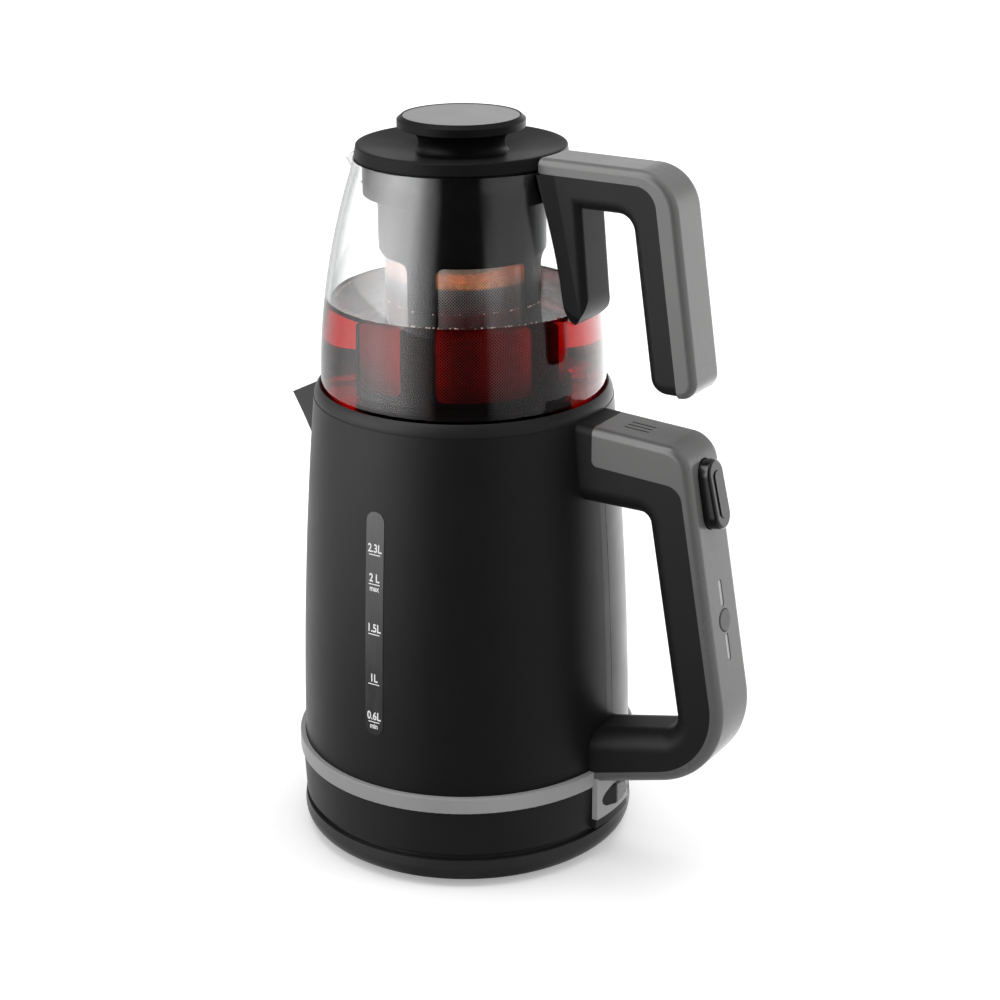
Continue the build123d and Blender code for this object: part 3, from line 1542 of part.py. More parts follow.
with BuildPart() as pot_handle_core:
    add(pot_handle_blank(pot_inner_round))
    add(pot_region.part, mode=Mode.SUBTRACT)
    with BuildPart(mode=Mode.PRIVATE) as bracket:
        bracket_drop = pot_top - bracket_low + bracket_flare
        bracket_slope = (bracket_outer_low - bracket_outer_top) / (pot_top - bracket_low)
        with BuildSketch(Plane.XY.offset(pot_top)) as bracket_plan:
            with BuildLine():
                Polyline(
                    (pot_arm_start, pot_width / 2),
                    (bracket_outer_top, pot_width / 2),
                    (bracket_outer_top, -pot_width / 2),
                    (pot_arm_start, -pot_width / 2),
                    close=True,
                )
            make_face()
            fillet(bracket_plan.vertices().group_by(Axis.X)[-1], radius=bracket_edge_round)
        extrude(amount=bracket_drop, dir=(bracket_slope, 0, -1))
        with BuildSketch(Plane.XY.offset(pot_top)):
            with BuildLine():
                Polyline(
                    (pot_arm_start, bracket_root_half_width),
                    (bracket_seat, bracket_root_half_width),
                    (bracket_seat + bracket_flare, pot_width / 2),
                    (bracket_seat + bracket_flare, -pot_width / 2),
                    (bracket_seat, -bracket_root_half_width),
                    (pot_arm_start, -bracket_root_half_width),
                    close=True,
                )
            make_face()
        extrude(amount=bracket_drop, dir=(bracket_lean, 0, -1))
        with BuildSketch(Plane.XZ):
            with BuildLine():
                FilletPolyline(
                    (pot_arm_start, bracket_top),
                    (bracket_outer_top + (pot_top - bracket_top) * bracket_slope, bracket_top),
                    (bracket_outer_low, bracket_low),
                    (pot_arm_start, bracket_low),
                    radius=(1, bracket_corner),
                )
                Line((pot_arm_start, bracket_low), (pot_arm_start, bracket_top))
            make_face()
        extrude(amount=pot_width, both=True, mode=Mode.INTERSECT)
        with BuildSketch(Plane.YZ):
            with Locations((0, bracket_low)):
                RectangleRounded(
                    2 * bracket_root_half_width,
                    2 * (pot_top - bracket_low),
                    bracket_bottom_round,
                    align=(Align.CENTER, Align.MIN),
                )
        extrude(amount=2 * pot_top, mode=Mode.INTERSECT)
    add(bracket.part)
    add(pot_envelope(pad_thickness), mode=Mode.SUBTRACT)
    add(lid_well.part, mode=Mode.SUBTRACT)
    with BuildSketch(Plane.XY.offset(pot_underside - 1)):
        with Locations((pot_screw_reach, 0)):
            Circle(pot_screw_radius + screw_gap)
    extrude(amount=pot_width, mode=Mode.SUBTRACT)
    with BuildSketch(Plane.XY.offset(pot_underside)):
        with Locations((pot_screw_reach, 0)):
            Circle(screw_head_radius + screw_gap)
    extrude(amount=screw_head_height + 1, mode=Mode.SUBTRACT)
pot_handle_core.part.label = "pot_handle_core"
export_step(pot_handle_core.part, "parts/pot_handle_core.step")

pot_screw_top = pot_top - pot_skin - 1
with BuildPart() as pot_handle_shell:
    add(pot_handle_blank(pot_edge_round))
    add(pot_region.part, mode=Mode.INTERSECT)
    add(pot_envelope(pad_thickness), mode=Mode.SUBTRACT)
    add(lid_well.part, mode=Mode.SUBTRACT)
    with BuildPart(mode=Mode.PRIVATE) as pot_cavity:
        with BuildSketch(Plane.XZ):
            with BuildLine():
                inner_skin = pot_path(pot_skin, pot_skin)
                cavity_seam = pot_path(pot_shell_depth, pot_cap_depth)
                Line(inner_skin @ 0, cavity_seam @ 0)
                Line(inner_skin @ 1, cavity_seam @ 1)
            make_face()
        extrude(amount=pot_cavity_half_width, both=True)
        with BuildSketch(Plane.XZ):
            with Locations((pot_screw_reach + pot_edge_round, pot_end + pot_edge_round)):
                Rectangle(pot_top, pot_top, align=(Align.MIN, Align.MIN))
        extrude(amount=pot_width, both=True, mode=Mode.INTERSECT)
    add(pot_cavity.part, mode=Mode.SUBTRACT)
    with BuildSketch(Plane.XY.offset(pot_screw_top)):
        with Locations((pot_screw_reach, 0)):
            Circle(pot_screw_radius + screw_gap)
    extrude(amount=-pot_width, mode=Mode.SUBTRACT)
pot_handle_shell.part.label = "pot_handle_shell"
export_step(pot_handle_shell.part, "parts/pot_handle_shell.step")

with BuildPart() as pot_handle_screw:
    with BuildSketch(Plane.XY.offset(pot_underside + 1)):
        with Locations((pot_screw_reach, 0)):
            Circle(screw_head_radius)
    extrude(amount=screw_head_height)
    with BuildSketch(Plane.XY.offset(pot_underside + 1 + screw_head_height)):
        with Locations((pot_screw_reach, 0)):
            Circle(pot_screw_radius)
    extrude(amount=pot_screw_top - pot_underside - 1.5 - screw_head_height)
pot_handle_screw.part.label = "pot_handle_screw"
export_step(pot_handle_screw.part, "parts/pot_handle_screw.step")

with BuildPart() as bracket_pad:
    with BuildSketch(Plane.XZ):
        with BuildLine():
            against_glass = glass_side(-seat_gap, glass_widest)
            against_bracket = glass_side(seat_gap - pad_thickness, glass_widest)
            Line(against_glass @ 0, against_bracket @ 0)
            Line(against_glass @ 1, against_bracket @ 1)
        make_face()
    revolve(axis=Axis.Z)
    with BuildSketch(Plane.YZ):
        with Locations((0, bracket_low + 4)):
            Rectangle(
                2 * bracket_root_half_width - 6,
                glass_neck - bracket_low - 6,
                align=(Align.CENTER, Align.MIN),
            )
    extrude(amount=2 * glass_radius, mode=Mode.INTERSECT)
bracket_pad.part.label = "bracket_pad"
export_step(bracket_pad.part, "parts/bracket_pad.step")

# ---- infuser basket --------------------------------------------------------------------------

basket_windows = [
    basket_window_turn + index * 360 / window_count for index in range(window_count)
]
window_half_chord = basket_cage_radius * sin(radians(basket_window_angle / 2))

with BuildPart() as infuser_frame:
    with BuildSketch(Plane.XZ):
        with BuildLine():
            collar_inner = basket_collar_radius - basket_collar_wall
            body_inner = basket_body_radius - basket_body_wall
            Polyline(
                (collar_inner, lid_bottom),
                (basket_flange_radius, lid_bottom),
                (basket_flange_radius, glass_rim),
                (basket_collar_radius, glass_rim),
                (basket_collar_radius, basket_collar_low),
                (basket_body_radius, basket_collar_low),
                (basket_body_radius, basket_body_low),
                (basket_cage_radius, basket_body_low),
                (basket_cage_radius, basket_bottom),
                (basket_cage_inner - basket_rim, basket_bottom),
                (basket_cage_inner - basket_rim, basket_bottom + mesh_thickness * 2),
                (basket_cage_inner, basket_bottom + mesh_thickness * 2),
                (basket_cage_inner, basket_body_low + basket_step),
                (body_inner, basket_body_low + basket_step),
                (body_inner, basket_collar_low + basket_step),
                (collar_inner, basket_collar_low + basket_step),
                close=True,
            )
        make_face()
    revolve(axis=Axis.Z)
    for turn in basket_windows:
        outward = Vector(1, 0, 0).rotate(Axis.Z, turn)
        opening = Plane(
            origin=(0, 0, (basket_window_low + basket_window_high) / 2),
            x_dir=outward.cross(Vector(0, 0, 1)),
            z_dir=outward,
        )
        with BuildSketch(opening):
            RectangleRounded(2 * window_half_chord, basket_window_high - basket_window_low, 4)
        extrude(amount=basket_body_radius * 2, mode=Mode.SUBTRACT)
infuser_frame.part.label = "infuser_frame"
export_step(infuser_frame.part, "parts/infuser_frame.step")

floor_rest = basket_bottom + mesh_thickness * 2
with BuildPart() as infuser_floor:
    with BuildSketch(Plane.XY.offset(floor_rest)):
        Circle(mesh_radius)
    extrude(amount=mesh_thickness)
infuser_floor.part.label = "infuser_floor"
export_step(infuser_floor.part, "parts/infuser_floor.step")

with BuildPart() as infuser_mesh:
    with BuildSketch(Plane.XY.offset(floor_rest + mesh_thickness)):
        Circle(mesh_radius)
        Circle(mesh_radius - mesh_thickness, mode=Mode.SUBTRACT)
    extrude(amount=basket_body_low - floor_rest - mesh_thickness)
infuser_mesh.part.label = "infuser_mesh"
export_step(infuser_mesh.part, "parts/infuser_mesh.step")

# ---- teapot lid ------------------------------------------------------------------------------

lid_centre = lid_top - lid_dish
lid_under = lid_centre - lid_skin
plug_bottom = lid_bottom - plug_drop
plug_inner = plug_outer - plug_wall

with BuildPart() as lid_plate:
    with BuildSketch(Plane.XZ):
        with BuildLine():
            Polyline(
                (0, lid_centre),
                (knob_foot_radius, lid_centre),
                (lid_edge_radius - 2, lid_top),
                (lid_edge_radius, lid_top),
                (lid_radius, lid_bottom),
                (plug_outer, lid_bottom),
                (plug_outer, plug_bottom),
                (plug_inner, plug_bottom),
                (plug_inner, lid_under + lid_dish / 2),
                (knob_foot_radius, lid_under),
                (0, lid_under),
                close=True,
            )
        make_face()
    revolve(axis=Axis.Z)
    fillet(lid_plate.edges().group_by(Axis.Z)[-1].sort_by(SortBy.RADIUS)[-1], radius=lid_edge_round)
    seal_middle = lid_bottom - plug_drop / 2
    with BuildSketch(Plane.XY.offset(seal_middle - lid_seal_height / 2)):
        Circle(plug_outer + 1)
        Circle(plug_outer - lid_seal_depth, mode=Mode.SUBTRACT)
    extrude(amount=lid_seal_height, mode=Mode.SUBTRACT)
    with BuildSketch(Plane.XY.offset(lid_under)):
        Circle(lid_screw_radius + screw_gap)
    extrude(amount=lid_skin, mode=Mode.SUBTRACT)
lid_plate.part.label = "lid_plate"
export_step(lid_plate.part, "parts/lid_plate.step")

seal_low = seal_middle - lid_seal_height / 2 + seat_gap
with BuildPart() as lid_seal:
    with BuildSketch(Plane.XY.offset(seal_low)):
        Circle(plug_outer + lid_seal_proud)
        Circle(plug_outer - lid_seal_depth + seat_gap, mode=Mode.SUBTRACT)
    extrude(amount=lid_seal_height - 2 * seat_gap)
lid_seal.part.label = "lid_seal"
export_step(lid_seal.part, "parts/lid_seal.step")

with BuildPart() as lid_knob:
    with BuildSketch(Plane.XZ):
        with BuildLine():
            waist = Spline(
                (knob_foot_radius, lid_centre),
                (knob_waist_radius, knob_waist),
                (knob_under_radius, knob_under),
                tangents=((-1, 0.6), (1, 0.25)),
            )
            Polyline(
                waist @ 1,
                (knob_rim_radius, knob_under + 0.5),
                (knob_rim_radius, knob_rim_top),
                (knob_face_radius, knob_top),
                (insert_radius + seat_gap, knob_top),
                (insert_radius + seat_gap, insert_bottom),
                (0, insert_bottom),
                (0, lid_centre),
                waist @ 0,
            )
        make_face()
    revolve(axis=Axis.Z)
    with BuildSketch(Plane.XY.offset(lid_centre)):
        Circle(knob_hollow)
        Circle(knob_boss, mode=Mode.SUBTRACT)
    extrude(amount=knob_hollow_top - lid_centre, mode=Mode.SUBTRACT)
    with BuildSketch(Plane.XY.offset(lid_centre)):
        Circle(lid_screw_radius + screw_gap)
    extrude(amount=lid_screw_length - lid_skin + 1, mode=Mode.SUBTRACT)
lid_knob.part.label = "lid_knob"
export_step(lid_knob.part, "parts/lid_knob.step")

with BuildPart() as knob_insert:
    with BuildSketch(Plane.XY.offset(insert_bottom)):
        Circle(insert_radius)
    extrude(amount=insert_thickness)
    fillet(knob_insert.edges().group_by(Axis.Z)[-1], radius=0.3)
knob_insert.part.label = "knob_insert"
export_step(knob_insert.part, "parts/knob_insert.step")

with BuildPart() as lid_screw:
    with BuildSketch(Plane.XY.offset(lid_under)):
        Circle(lid_screw_head_radius)
    extrude(amount=-lid_screw_head)
    with BuildSketch(Plane.XY.offset(lid_under)):
        Circle(lid_screw_radius)
    extrude(amount=lid_screw_length)
lid_screw.part.label = "lid_screw"
export_step(lid_screw.part, "parts/lid_screw.step")
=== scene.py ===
"""An automatic tea maker: finishes for every solid of the frame, the brewed tea with its
bubbles and leaves, the printed level marks, and a plain studio. Metres, +Z up, with the
origin on the table under the kettle's axis, the handle towards +X and the window towards -Y."""

import math
import random

import bmesh
import bpy
from bpy.props import FloatProperty, FloatVectorProperty, IntProperty, PointerProperty
from mathutils import Matrix, Vector, noise
from mathutils.bvhtree import BVHTree


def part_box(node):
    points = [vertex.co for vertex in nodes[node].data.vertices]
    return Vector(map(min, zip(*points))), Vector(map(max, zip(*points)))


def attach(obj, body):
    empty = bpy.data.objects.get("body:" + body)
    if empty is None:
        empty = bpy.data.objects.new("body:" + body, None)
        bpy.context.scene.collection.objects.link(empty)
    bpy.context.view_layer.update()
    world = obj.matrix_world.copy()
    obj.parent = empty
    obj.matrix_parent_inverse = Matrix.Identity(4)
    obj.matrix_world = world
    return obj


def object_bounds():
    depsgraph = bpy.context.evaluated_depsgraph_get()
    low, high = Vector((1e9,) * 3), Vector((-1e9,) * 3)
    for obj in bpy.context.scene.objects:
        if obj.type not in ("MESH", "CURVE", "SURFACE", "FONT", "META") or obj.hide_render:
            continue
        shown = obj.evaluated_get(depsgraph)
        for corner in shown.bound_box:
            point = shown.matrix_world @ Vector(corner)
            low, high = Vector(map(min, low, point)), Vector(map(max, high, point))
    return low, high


bl_info = {
    "name": "Tea Maker Finishes",
    "version": (1, 0, 0),
    "blender": (4, 5, 0),
    "location": "3D View > Sidebar > Tea Maker",
    "description": "Finishes, tea, leaves, level marks and studio for an automatic tea maker",
    "category": "Object",
}

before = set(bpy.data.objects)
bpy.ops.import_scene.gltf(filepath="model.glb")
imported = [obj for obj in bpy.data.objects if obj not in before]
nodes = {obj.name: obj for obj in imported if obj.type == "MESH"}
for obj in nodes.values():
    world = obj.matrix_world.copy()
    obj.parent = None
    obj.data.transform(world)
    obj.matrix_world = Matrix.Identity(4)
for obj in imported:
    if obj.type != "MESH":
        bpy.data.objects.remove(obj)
cad_low, cad_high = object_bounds()

MILLIMETRE = 0.001


# ---- settings ---------------------------------------------------------------------------


def length(name, description, default):
    """A size in metres that the sidebar shows."""
    return FloatProperty(
        name=name, description=description, default=default, precision=4, unit="LENGTH"
    )


def colour(name, description, default):
    """A linear colour that the sidebar shows."""
    return FloatVectorProperty(
        name=name, description=description, default=default, subtype="COLOR", size=3, min=0, max=1
    )


def amount(name, description, default, **more):
    """A plain number, an angle or a power that the sidebar shows."""
    return FloatProperty(name=name, description=description, default=default, **more)


class TEAMAKER_PG_finishes(bpy.types.PropertyGroup):
    """Colours of the paints and mouldings."""

    # The body paint is lifted a little above its own black by a painted reflection of the studio in front
    # of the vessel.
    paint_black_and_reflection: colour("Body paint", "Satin black paint of the vessel", (0.0095, 0.0095, 0.0098))
    base_black: colour("Base black", "Moulded black of base, skirt and collar", (0.0150, 0.0150, 0.0153))
    grip_black: colour("Grip black", "Soft-touch black of the grips", (0.0090, 0.0090, 0.0093))
    gloss_black: colour("Gloss black", "Polished black of basket and button", (0.0030, 0.0030, 0.0032))
    shell_grey: colour("Shell grey", "Satin grey of the handle shells", (0.118, 0.117, 0.116))
    trim_grey: colour("Trim grey", "Painted grey of the trim band", (0.330, 0.330, 0.330))
    panel_grey: colour("Panel grey", "Painted grey of the switch panel", (0.380, 0.380, 0.380))
    insert_grey: colour("Insert grey", "Grey disc in the knob", (0.190, 0.189, 0.189))
    mark_white: colour("Mark white", "Ink of the level marks", (0.95, 0.95, 0.95))


class TEAMAKER_PG_brew(bpy.types.PropertyGroup):
    """The tea in the teapot and the leaves in the basket."""

    surface: length("Tea surface", "Height of the tea's surface above the table", 0.277)
    meniscus: length("Meniscus", "Rise of the tea where it wets the glass", 0.0007)
    overlap: length("Overlap", "Tea inside the glass's surface, so that no air shows", 0.00012)
    tea_colour: colour("Tea colour", "What a thin layer of the tea lets through", (0.88, 0.07, 0.04))
    tea_density: amount("Tea density", "Strength of the brew", 76, min=0)
    bubble_count: IntProperty(name="Bubbles", description="Bubbles along the waterline", default=240)
    bubble_radius: length("Bubble radius", "Radius of a middling bubble", 0.00030)
    leaf_crest: length("Leaf crest", "Height of the heap of leaves at its rim", 0.2915)
    leaf_dip: length("Leaf dip", "How much lower the heap is in its middle", 0.0015)
    leaf_count: IntProperty(name="Leaves", description="Loose leaves on the heap", default=900)
    leaf_length: length("Leaf length", "Length of a middling leaf", 0.0042)


class TEAMAKER_PG_marks(bpy.types.PropertyGroup):
    """The printed scale on the level window."""

    digit_height: length("Digits", "Height of the numbers", 0.0040)
    word_height: length("Words", "Height of the small words", 0.0027)
    line_length: length("Line length", "Length of a mark's line", 0.0064)
    line_width: length("Line width", "Width of a mark's line", 0.0005)
    ink_lift: length("Ink lift", "Ink's height above the window", 0.00006)
    seam_angle: amount("Seam angle", "Where the body's weld is", math.radians(4), subtype="ANGLE")
    seam_width: length("Seam width", "Width of the body's weld line", 0.0006)


class TEAMAKER_PG_studio(bpy.types.PropertyGroup):
    """Camera, floor and lamps."""

    camera_x: length("Camera X", "Camera's place", 0.5605)
    camera_y: length("Camera Y", "Camera's place", -0.8608)
    camera_z: length("Camera Z", "Camera's place", 0.5570)
    aim_x: length("Aim X", "Point that the camera looks at", 0.0147)
    aim_y: length("Aim Y", "Point that the camera looks at", 0.0092)
    aim_z: length("Aim Z", "Point that the camera looks at", 0.1711)
    roll: amount("Roll", "Camera's roll", math.radians(-0.248), subtype="ANGLE")
    lens: amount("Lens", "Focal length in millimetres", 79.47)
    floor_size: length("Floor", "Side of the floor", 12.0)
    room_light: amount("Room light", "Strength of the world on the object", 0.50)
    floor_glow: amount("Floor glow", "Light that the floor adds to the view", 0.30)
    top_power: amount("Top lamp", "Power of the lamp overhead", 19, unit="POWER")
    side_power: amount("Side lamps", "Power that the side lamps take their share of", 10, unit="POWER")


SETTINGS = {
    "tea_finishes": TEAMAKER_PG_finishes,
    "tea_brew": TEAMAKER_PG_brew,
    "tea_marks": TEAMAKER_PG_marks,
    "tea_studio": TEAMAKER_PG_studio,
}


# ---- shader nodes -----------------------------------------------------------------------


class Wiring:
    """A node tree, with short calls that add nodes and link them."""

    def __init__(self, tree, place):
        self.tree = tree
        self.place = self.add("TexCoord").outputs[place]

    def add(self, kind, sockets=None, **settings):
        """Adds a node, sets its options, and feeds its inputs with values or other outputs."""
        node = self.tree.nodes.new("ShaderNode" + kind)
        for name, value in settings.items():
            setattr(node, name, value)
        for key, value in (sockets or {}).items():
            self.feed(node.inputs[key], value)
        return node

    def feed(self, socket, value):
        """Links an output to a socket, or sets the socket's own value."""
        if isinstance(value, bpy.types.NodeSocket):
            self.tree.links.new(value, socket)
        elif socket.type == "RGBA":
            socket.default_value = (*value, 1)
        else:
            socket.default_value = value

    def math(self, operation, first, second=0.0):
        """A number made from one or two numbers."""
        node = self.add("Math", {0: first, 1: second}, operation=operation)
        return node.outputs[0]

    def noise(self, grain, detail=2.0, place=None):
        """Cloudy noise whose lumps are about one grain wide."""
        sockets = {"Vector": place or self.place, "Scale": 1 / grain, "Detail": detail}
        return self.add("TexNoise", sockets).outputs[0]

    def spread(self, value, low, high, start=0.3, end=0.7):
        """Maps the middle of a noise to a range."""
        sockets = {0: value, 1: start, 2: end, 3: low, 4: high}
        return self.add("MapRange", sockets).outputs[0]

    def mix(self, share, first, second):
        """A colour between two colours."""
        node = self.add("Mix", data_type="RGBA")
        self.feed(node.inputs[0], share)
        self.feed(node.inputs[6], first)
        self.feed(node.inputs[7], second)
        return node.outputs[2]

    def height(self):
        """The height above the table."""
        return self.add("SeparateXYZ", {0: self.place}).outputs[2]

    def stretch(self, scale):
        """The place in the frame, scaled along each axis."""
        return self.add("Mapping", {"Vector": self.place, "Scale": scale}).outputs[0]

    def bump(self, height, depth):
        """A surface that is raised by a height from 0 to 1, times a depth in metres."""
        return self.add("Bump", {"Strength": 1.0, "Distance": depth, "Height": height}).outputs[0]

    def any_ray(self, *kinds):
        """One for rays of any of these kinds, and nothing for the rest."""
        path = self.add("LightPath").outputs
        either = path[kinds[0]]
        for kind in kinds[1:]:
            either = self.math("MAXIMUM", either, path[kind])
        return either

    def mirrored_ray(self):
        """One for rays that a surface has mirrored, and nothing for the rest."""
        path = self.add("LightPath").outputs
        mirrored = self.math("GREATER_THAN", path["Glossy Depth"], 0.5)
        return self.math("MULTIPLY", mirrored, self.math("SUBTRACT", 1.0, path["Is Diffuse Ray"]))

    def blend(self, share, first, second):
        """A shader between two shaders."""
        return self.add("MixShader", {0: share, 1: first, 2: second}).outputs[0]


class Finish(Wiring):
    """A new material."""

    def __init__(self, name):
        self.material = bpy.data.materials.new(name)
        self.material.use_nodes = True
        super().__init__(self.material.node_tree, "Object")
        self.shader = self.tree.nodes["Principled BSDF"]
        self.output = self.tree.nodes["Material Output"]

    def set(self, **values):
        """Feeds the surface shader's inputs, named with underscores for spaces."""
        for name, value in values.items():
            self.feed(self.shader.inputs[name.replace("_", " ")], value)

    def let_light_through(self):
        """Lets shadow rays pass, so that what is behind the piece is lit."""
        clear = self.add("BsdfTransparent").outputs[0]
        surface = self.blend(self.any_ray("Is Shadow Ray"), self.shader.outputs[0], clear)
        self.feed(self.output.inputs["Surface"], surface)


def shade(tint, factor):
    """A colour made lighter or darker."""
    return tuple(channel * factor for channel in tint)


def moulded(name, tint, roughness, grain=0.0006, depth=0.000012, mottle=0.10, specular=0.15):
    """Moulded or painted plastic: faint clouds in colour and gloss, and a fine grain."""
    colour_cloud = 0.035
    gloss_cloud = 0.02
    unevenness = 0.02
    finish = Finish(name)
    clouds = finish.noise(colour_cloud, 3.0)
    gloss = finish.noise(gloss_cloud, 1.0)
    finish.set(
        Base_Color=finish.mix(clouds, shade(tint, 1 - mottle), shade(tint, 1 + mottle)),
        Roughness=finish.spread(gloss, roughness - unevenness, roughness + unevenness),
        Specular_IOR_Level=specular,
        Normal=finish.bump(finish.noise(grain), depth),
    )
    return finish.material


def brushed(name, tint, roughness, along=(1, 1, 30)):
    """Metal with fine lines drawn across one direction."""
    line_pitch = 0.0008
    line_depth = 0.00001
    unevenness = 0.06
    finish = Finish(name)
    lines = finish.noise(line_pitch, 2.0, finish.stretch(along))
    finish.set(
        Base_Color=finish.mix(lines, shade(tint, 0.85), shade(tint, 1.1)),
        Metallic=1.0,
        Roughness=finish.spread(lines, roughness - unevenness, roughness + unevenness),
        Normal=finish.bump(lines, line_depth),
    )
    return finish.material


def screw_steel(name):
    """Bright plated steel of the small screws and pins."""
    return brushed(name, (0.45, 0.45, 0.46), 0.35)


def clear(name, tint, edge, bend, waterline):
    """Glass, very slightly wavy and darker at its edges as painted shade, whose inside hardly mirrors where
    it is wet.
    """
    wave_length = 0.03
    wave_depth = 0.00002
    edge_shade_start = 0.52
    edge_shade_end = 0.86
    wet_mirror = (0.05, 0.05, 0.05)
    finish = Finish(name)
    waves = finish.noise(wave_length, 1.0, finish.stretch((1, 1, 0.4)))
    turned_away = finish.add("LayerWeight", {"Blend": 0.5}).outputs["Facing"]
    inside = finish.add("NewGeometry").outputs["Backfacing"]
    wet = finish.math("MULTIPLY", finish.math("LESS_THAN", finish.height(), waterline), inside)
    finish.set(
        # The darker tint where the glass turns away is painted shade, in place of the darker studio that
        # its edges would bend into view.
        Base_Color=finish.mix(finish.spread(turned_away, 0.0, 1.0, edge_shade_start, edge_shade_end), tint, edge),
        Roughness=0.0,
        IOR=bend,
        Transmission_Weight=1.0,
        Specular_Tint=finish.mix(wet, (1, 1, 1), wet_mirror),
        Normal=finish.bump(waves, wave_depth),
    )
    finish.let_light_through()
    return finish.material


def weave(name, tint, count, radius, thread):
    """Woven steel: a count of crossing threads that run diagonally round a cylinder, each as wide
    as a share of its pitch, and open between them."""
    thread_rise = 0.00008
    finish = Finish(name)
    parts = finish.add("SeparateXYZ", {0: finish.place}).outputs
    turn = finish.math("ARCTAN2", parts[1], parts[0])
    around = finish.math("MULTIPLY", turn, count / math.tau)
    up = finish.math("MULTIPLY", parts[2], count / (math.tau * radius))
    height = None
    for direction in ("ADD", "SUBTRACT"):
        share = finish.math("FRACT", finish.math(direction, around, up))
        ridge = finish.math("ABSOLUTE", finish.math("SUBTRACT", share, 0.5))
        height = ridge if height is None else finish.math("MAXIMUM", height, ridge)
    solid = finish.math("GREATER_THAN", height, 0.5 - thread / 2)
    finish.set(
        Base_Color=finish.mix(finish.noise(0.004, 2.0), shade(tint, 0.8), shade(tint, 1.1)),
        Metallic=0.9,
        Roughness=0.32,
        Alpha=solid,
        Normal=finish.bump(height, thread_rise),
    )
    return finish.material


def paint(names, material):
    """Gives CAD nodes their material."""
    for name in names:
        piece = nodes[name]
        piece.data.materials.clear()
        piece.data.materials.append(material)


# ---- mesh work --------------------------------------------------------------------------


def new_piece(name, shape, material, body, smooth=True):
    """Turns a bmesh into a piece that rides on a body."""
    mesh = bpy.data.meshes.new(name)
    bmesh.ops.recalc_face_normals(shape, faces=shape.faces)
    shape.to_mesh(mesh)
    shape.free()
    for face in mesh.polygons:
        face.use_smooth = smooth
    mesh.materials.append(material)
    piece = bpy.data.objects.new(name, mesh)
    bpy.context.scene.collection.objects.link(piece)
    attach(piece, body)
    return piece


def ring_point(radius, angle, height):
    """A point round the axis."""
    return Vector((radius * math.cos(angle), radius * math.sin(angle), height))


def add_rings(shape, profile, segments, wobble=None):
    """Lofts rings of radius and height about the axis, and closes both ends with a fan."""
    rows = []
    for row, (radius, height) in enumerate(profile):
        if radius < 1e-6:
            rows.append([shape.verts.new((0, 0, height))])
            continue
        points = []
        for step in range(segments):
            point = ring_point(radius, math.tau * step / segments, height)
            points.append(shape.verts.new(wobble(point, row) if wobble else point))
        rows.append(points)
    for lower, upper in zip(rows, rows[1:]):
        for step in range(segments):
            following = (step + 1) % segments
            corners = [lower[step % len(lower)], lower[following % len(lower)]]
            corners += [upper[following % len(upper)], upper[step % len(upper)]]
            shape.faces.new(list(dict.fromkeys(corners)))


class Wall:
    """Finds the surface of CAD nodes with rays, so that what lies against them fits."""

    def __init__(self, *names):
        corners, faces = [], []
        for name in names:
            mesh = nodes[name].data
            first = len(corners)
            corners += [vertex.co for vertex in mesh.vertices]
            faces += [[first + corner for corner in face.vertices] for face in mesh.polygons]
        self.tree = BVHTree.FromPolygons(corners, faces)

    def reach(self, start, direction):
        """Distance from a point to the surface along a direction."""
        point, _, _, distance = self.tree.ray_cast(Vector(start), Vector(direction))
        if point is None:
            raise RuntimeError(f"no surface from {tuple(start)} along {tuple(direction)}")
        return distance

    def inside_radius(self, height, angle):
        return self.reach((0, 0, height), (math.cos(angle), math.sin(angle), 0))

    def outside_radius(self, height, angle):
        far = 0.5
        return far - self.reach(ring_point(far, angle, height), -ring_point(1, angle, 0))


# ---- power base and kettle --------------------------------------------------------------


class TEAMAKER_OT_finish_base(bpy.types.Operator):
    """Finishes the power base and what is in it"""

    bl_idname = "teamaker.finish_base"
    bl_label = "Finish Power Base"

    def execute(self, context):
        finishes = context.scene.tea_finishes
        black = moulded("base_black", shade(finishes.base_black, 1.7), 0.36, specular=0.25)
        paint(["base_tray", "base_deck"], black)
        paint(["base_connector"], moulded("inner_black", finishes.base_black, 0.5))
        rubber = moulded("rubber", (0.02, 0.02, 0.02), 0.75, grain=0.001, depth=0.00003)
        paint(["base_feet", "cord_gland"], rubber)
        paint(["base_screws"], screw_steel("screw_steel"))
        brass = brushed("contact_brass", (0.70, 0.50, 0.22), 0.3)
        paint(["base_contacts", "socket_pin"], brass)
        white = moulded("terminal_white", (0.60, 0.60, 0.57), 0.5)
        paint(["terminal_block"], white)
        return {"FINISHED"}


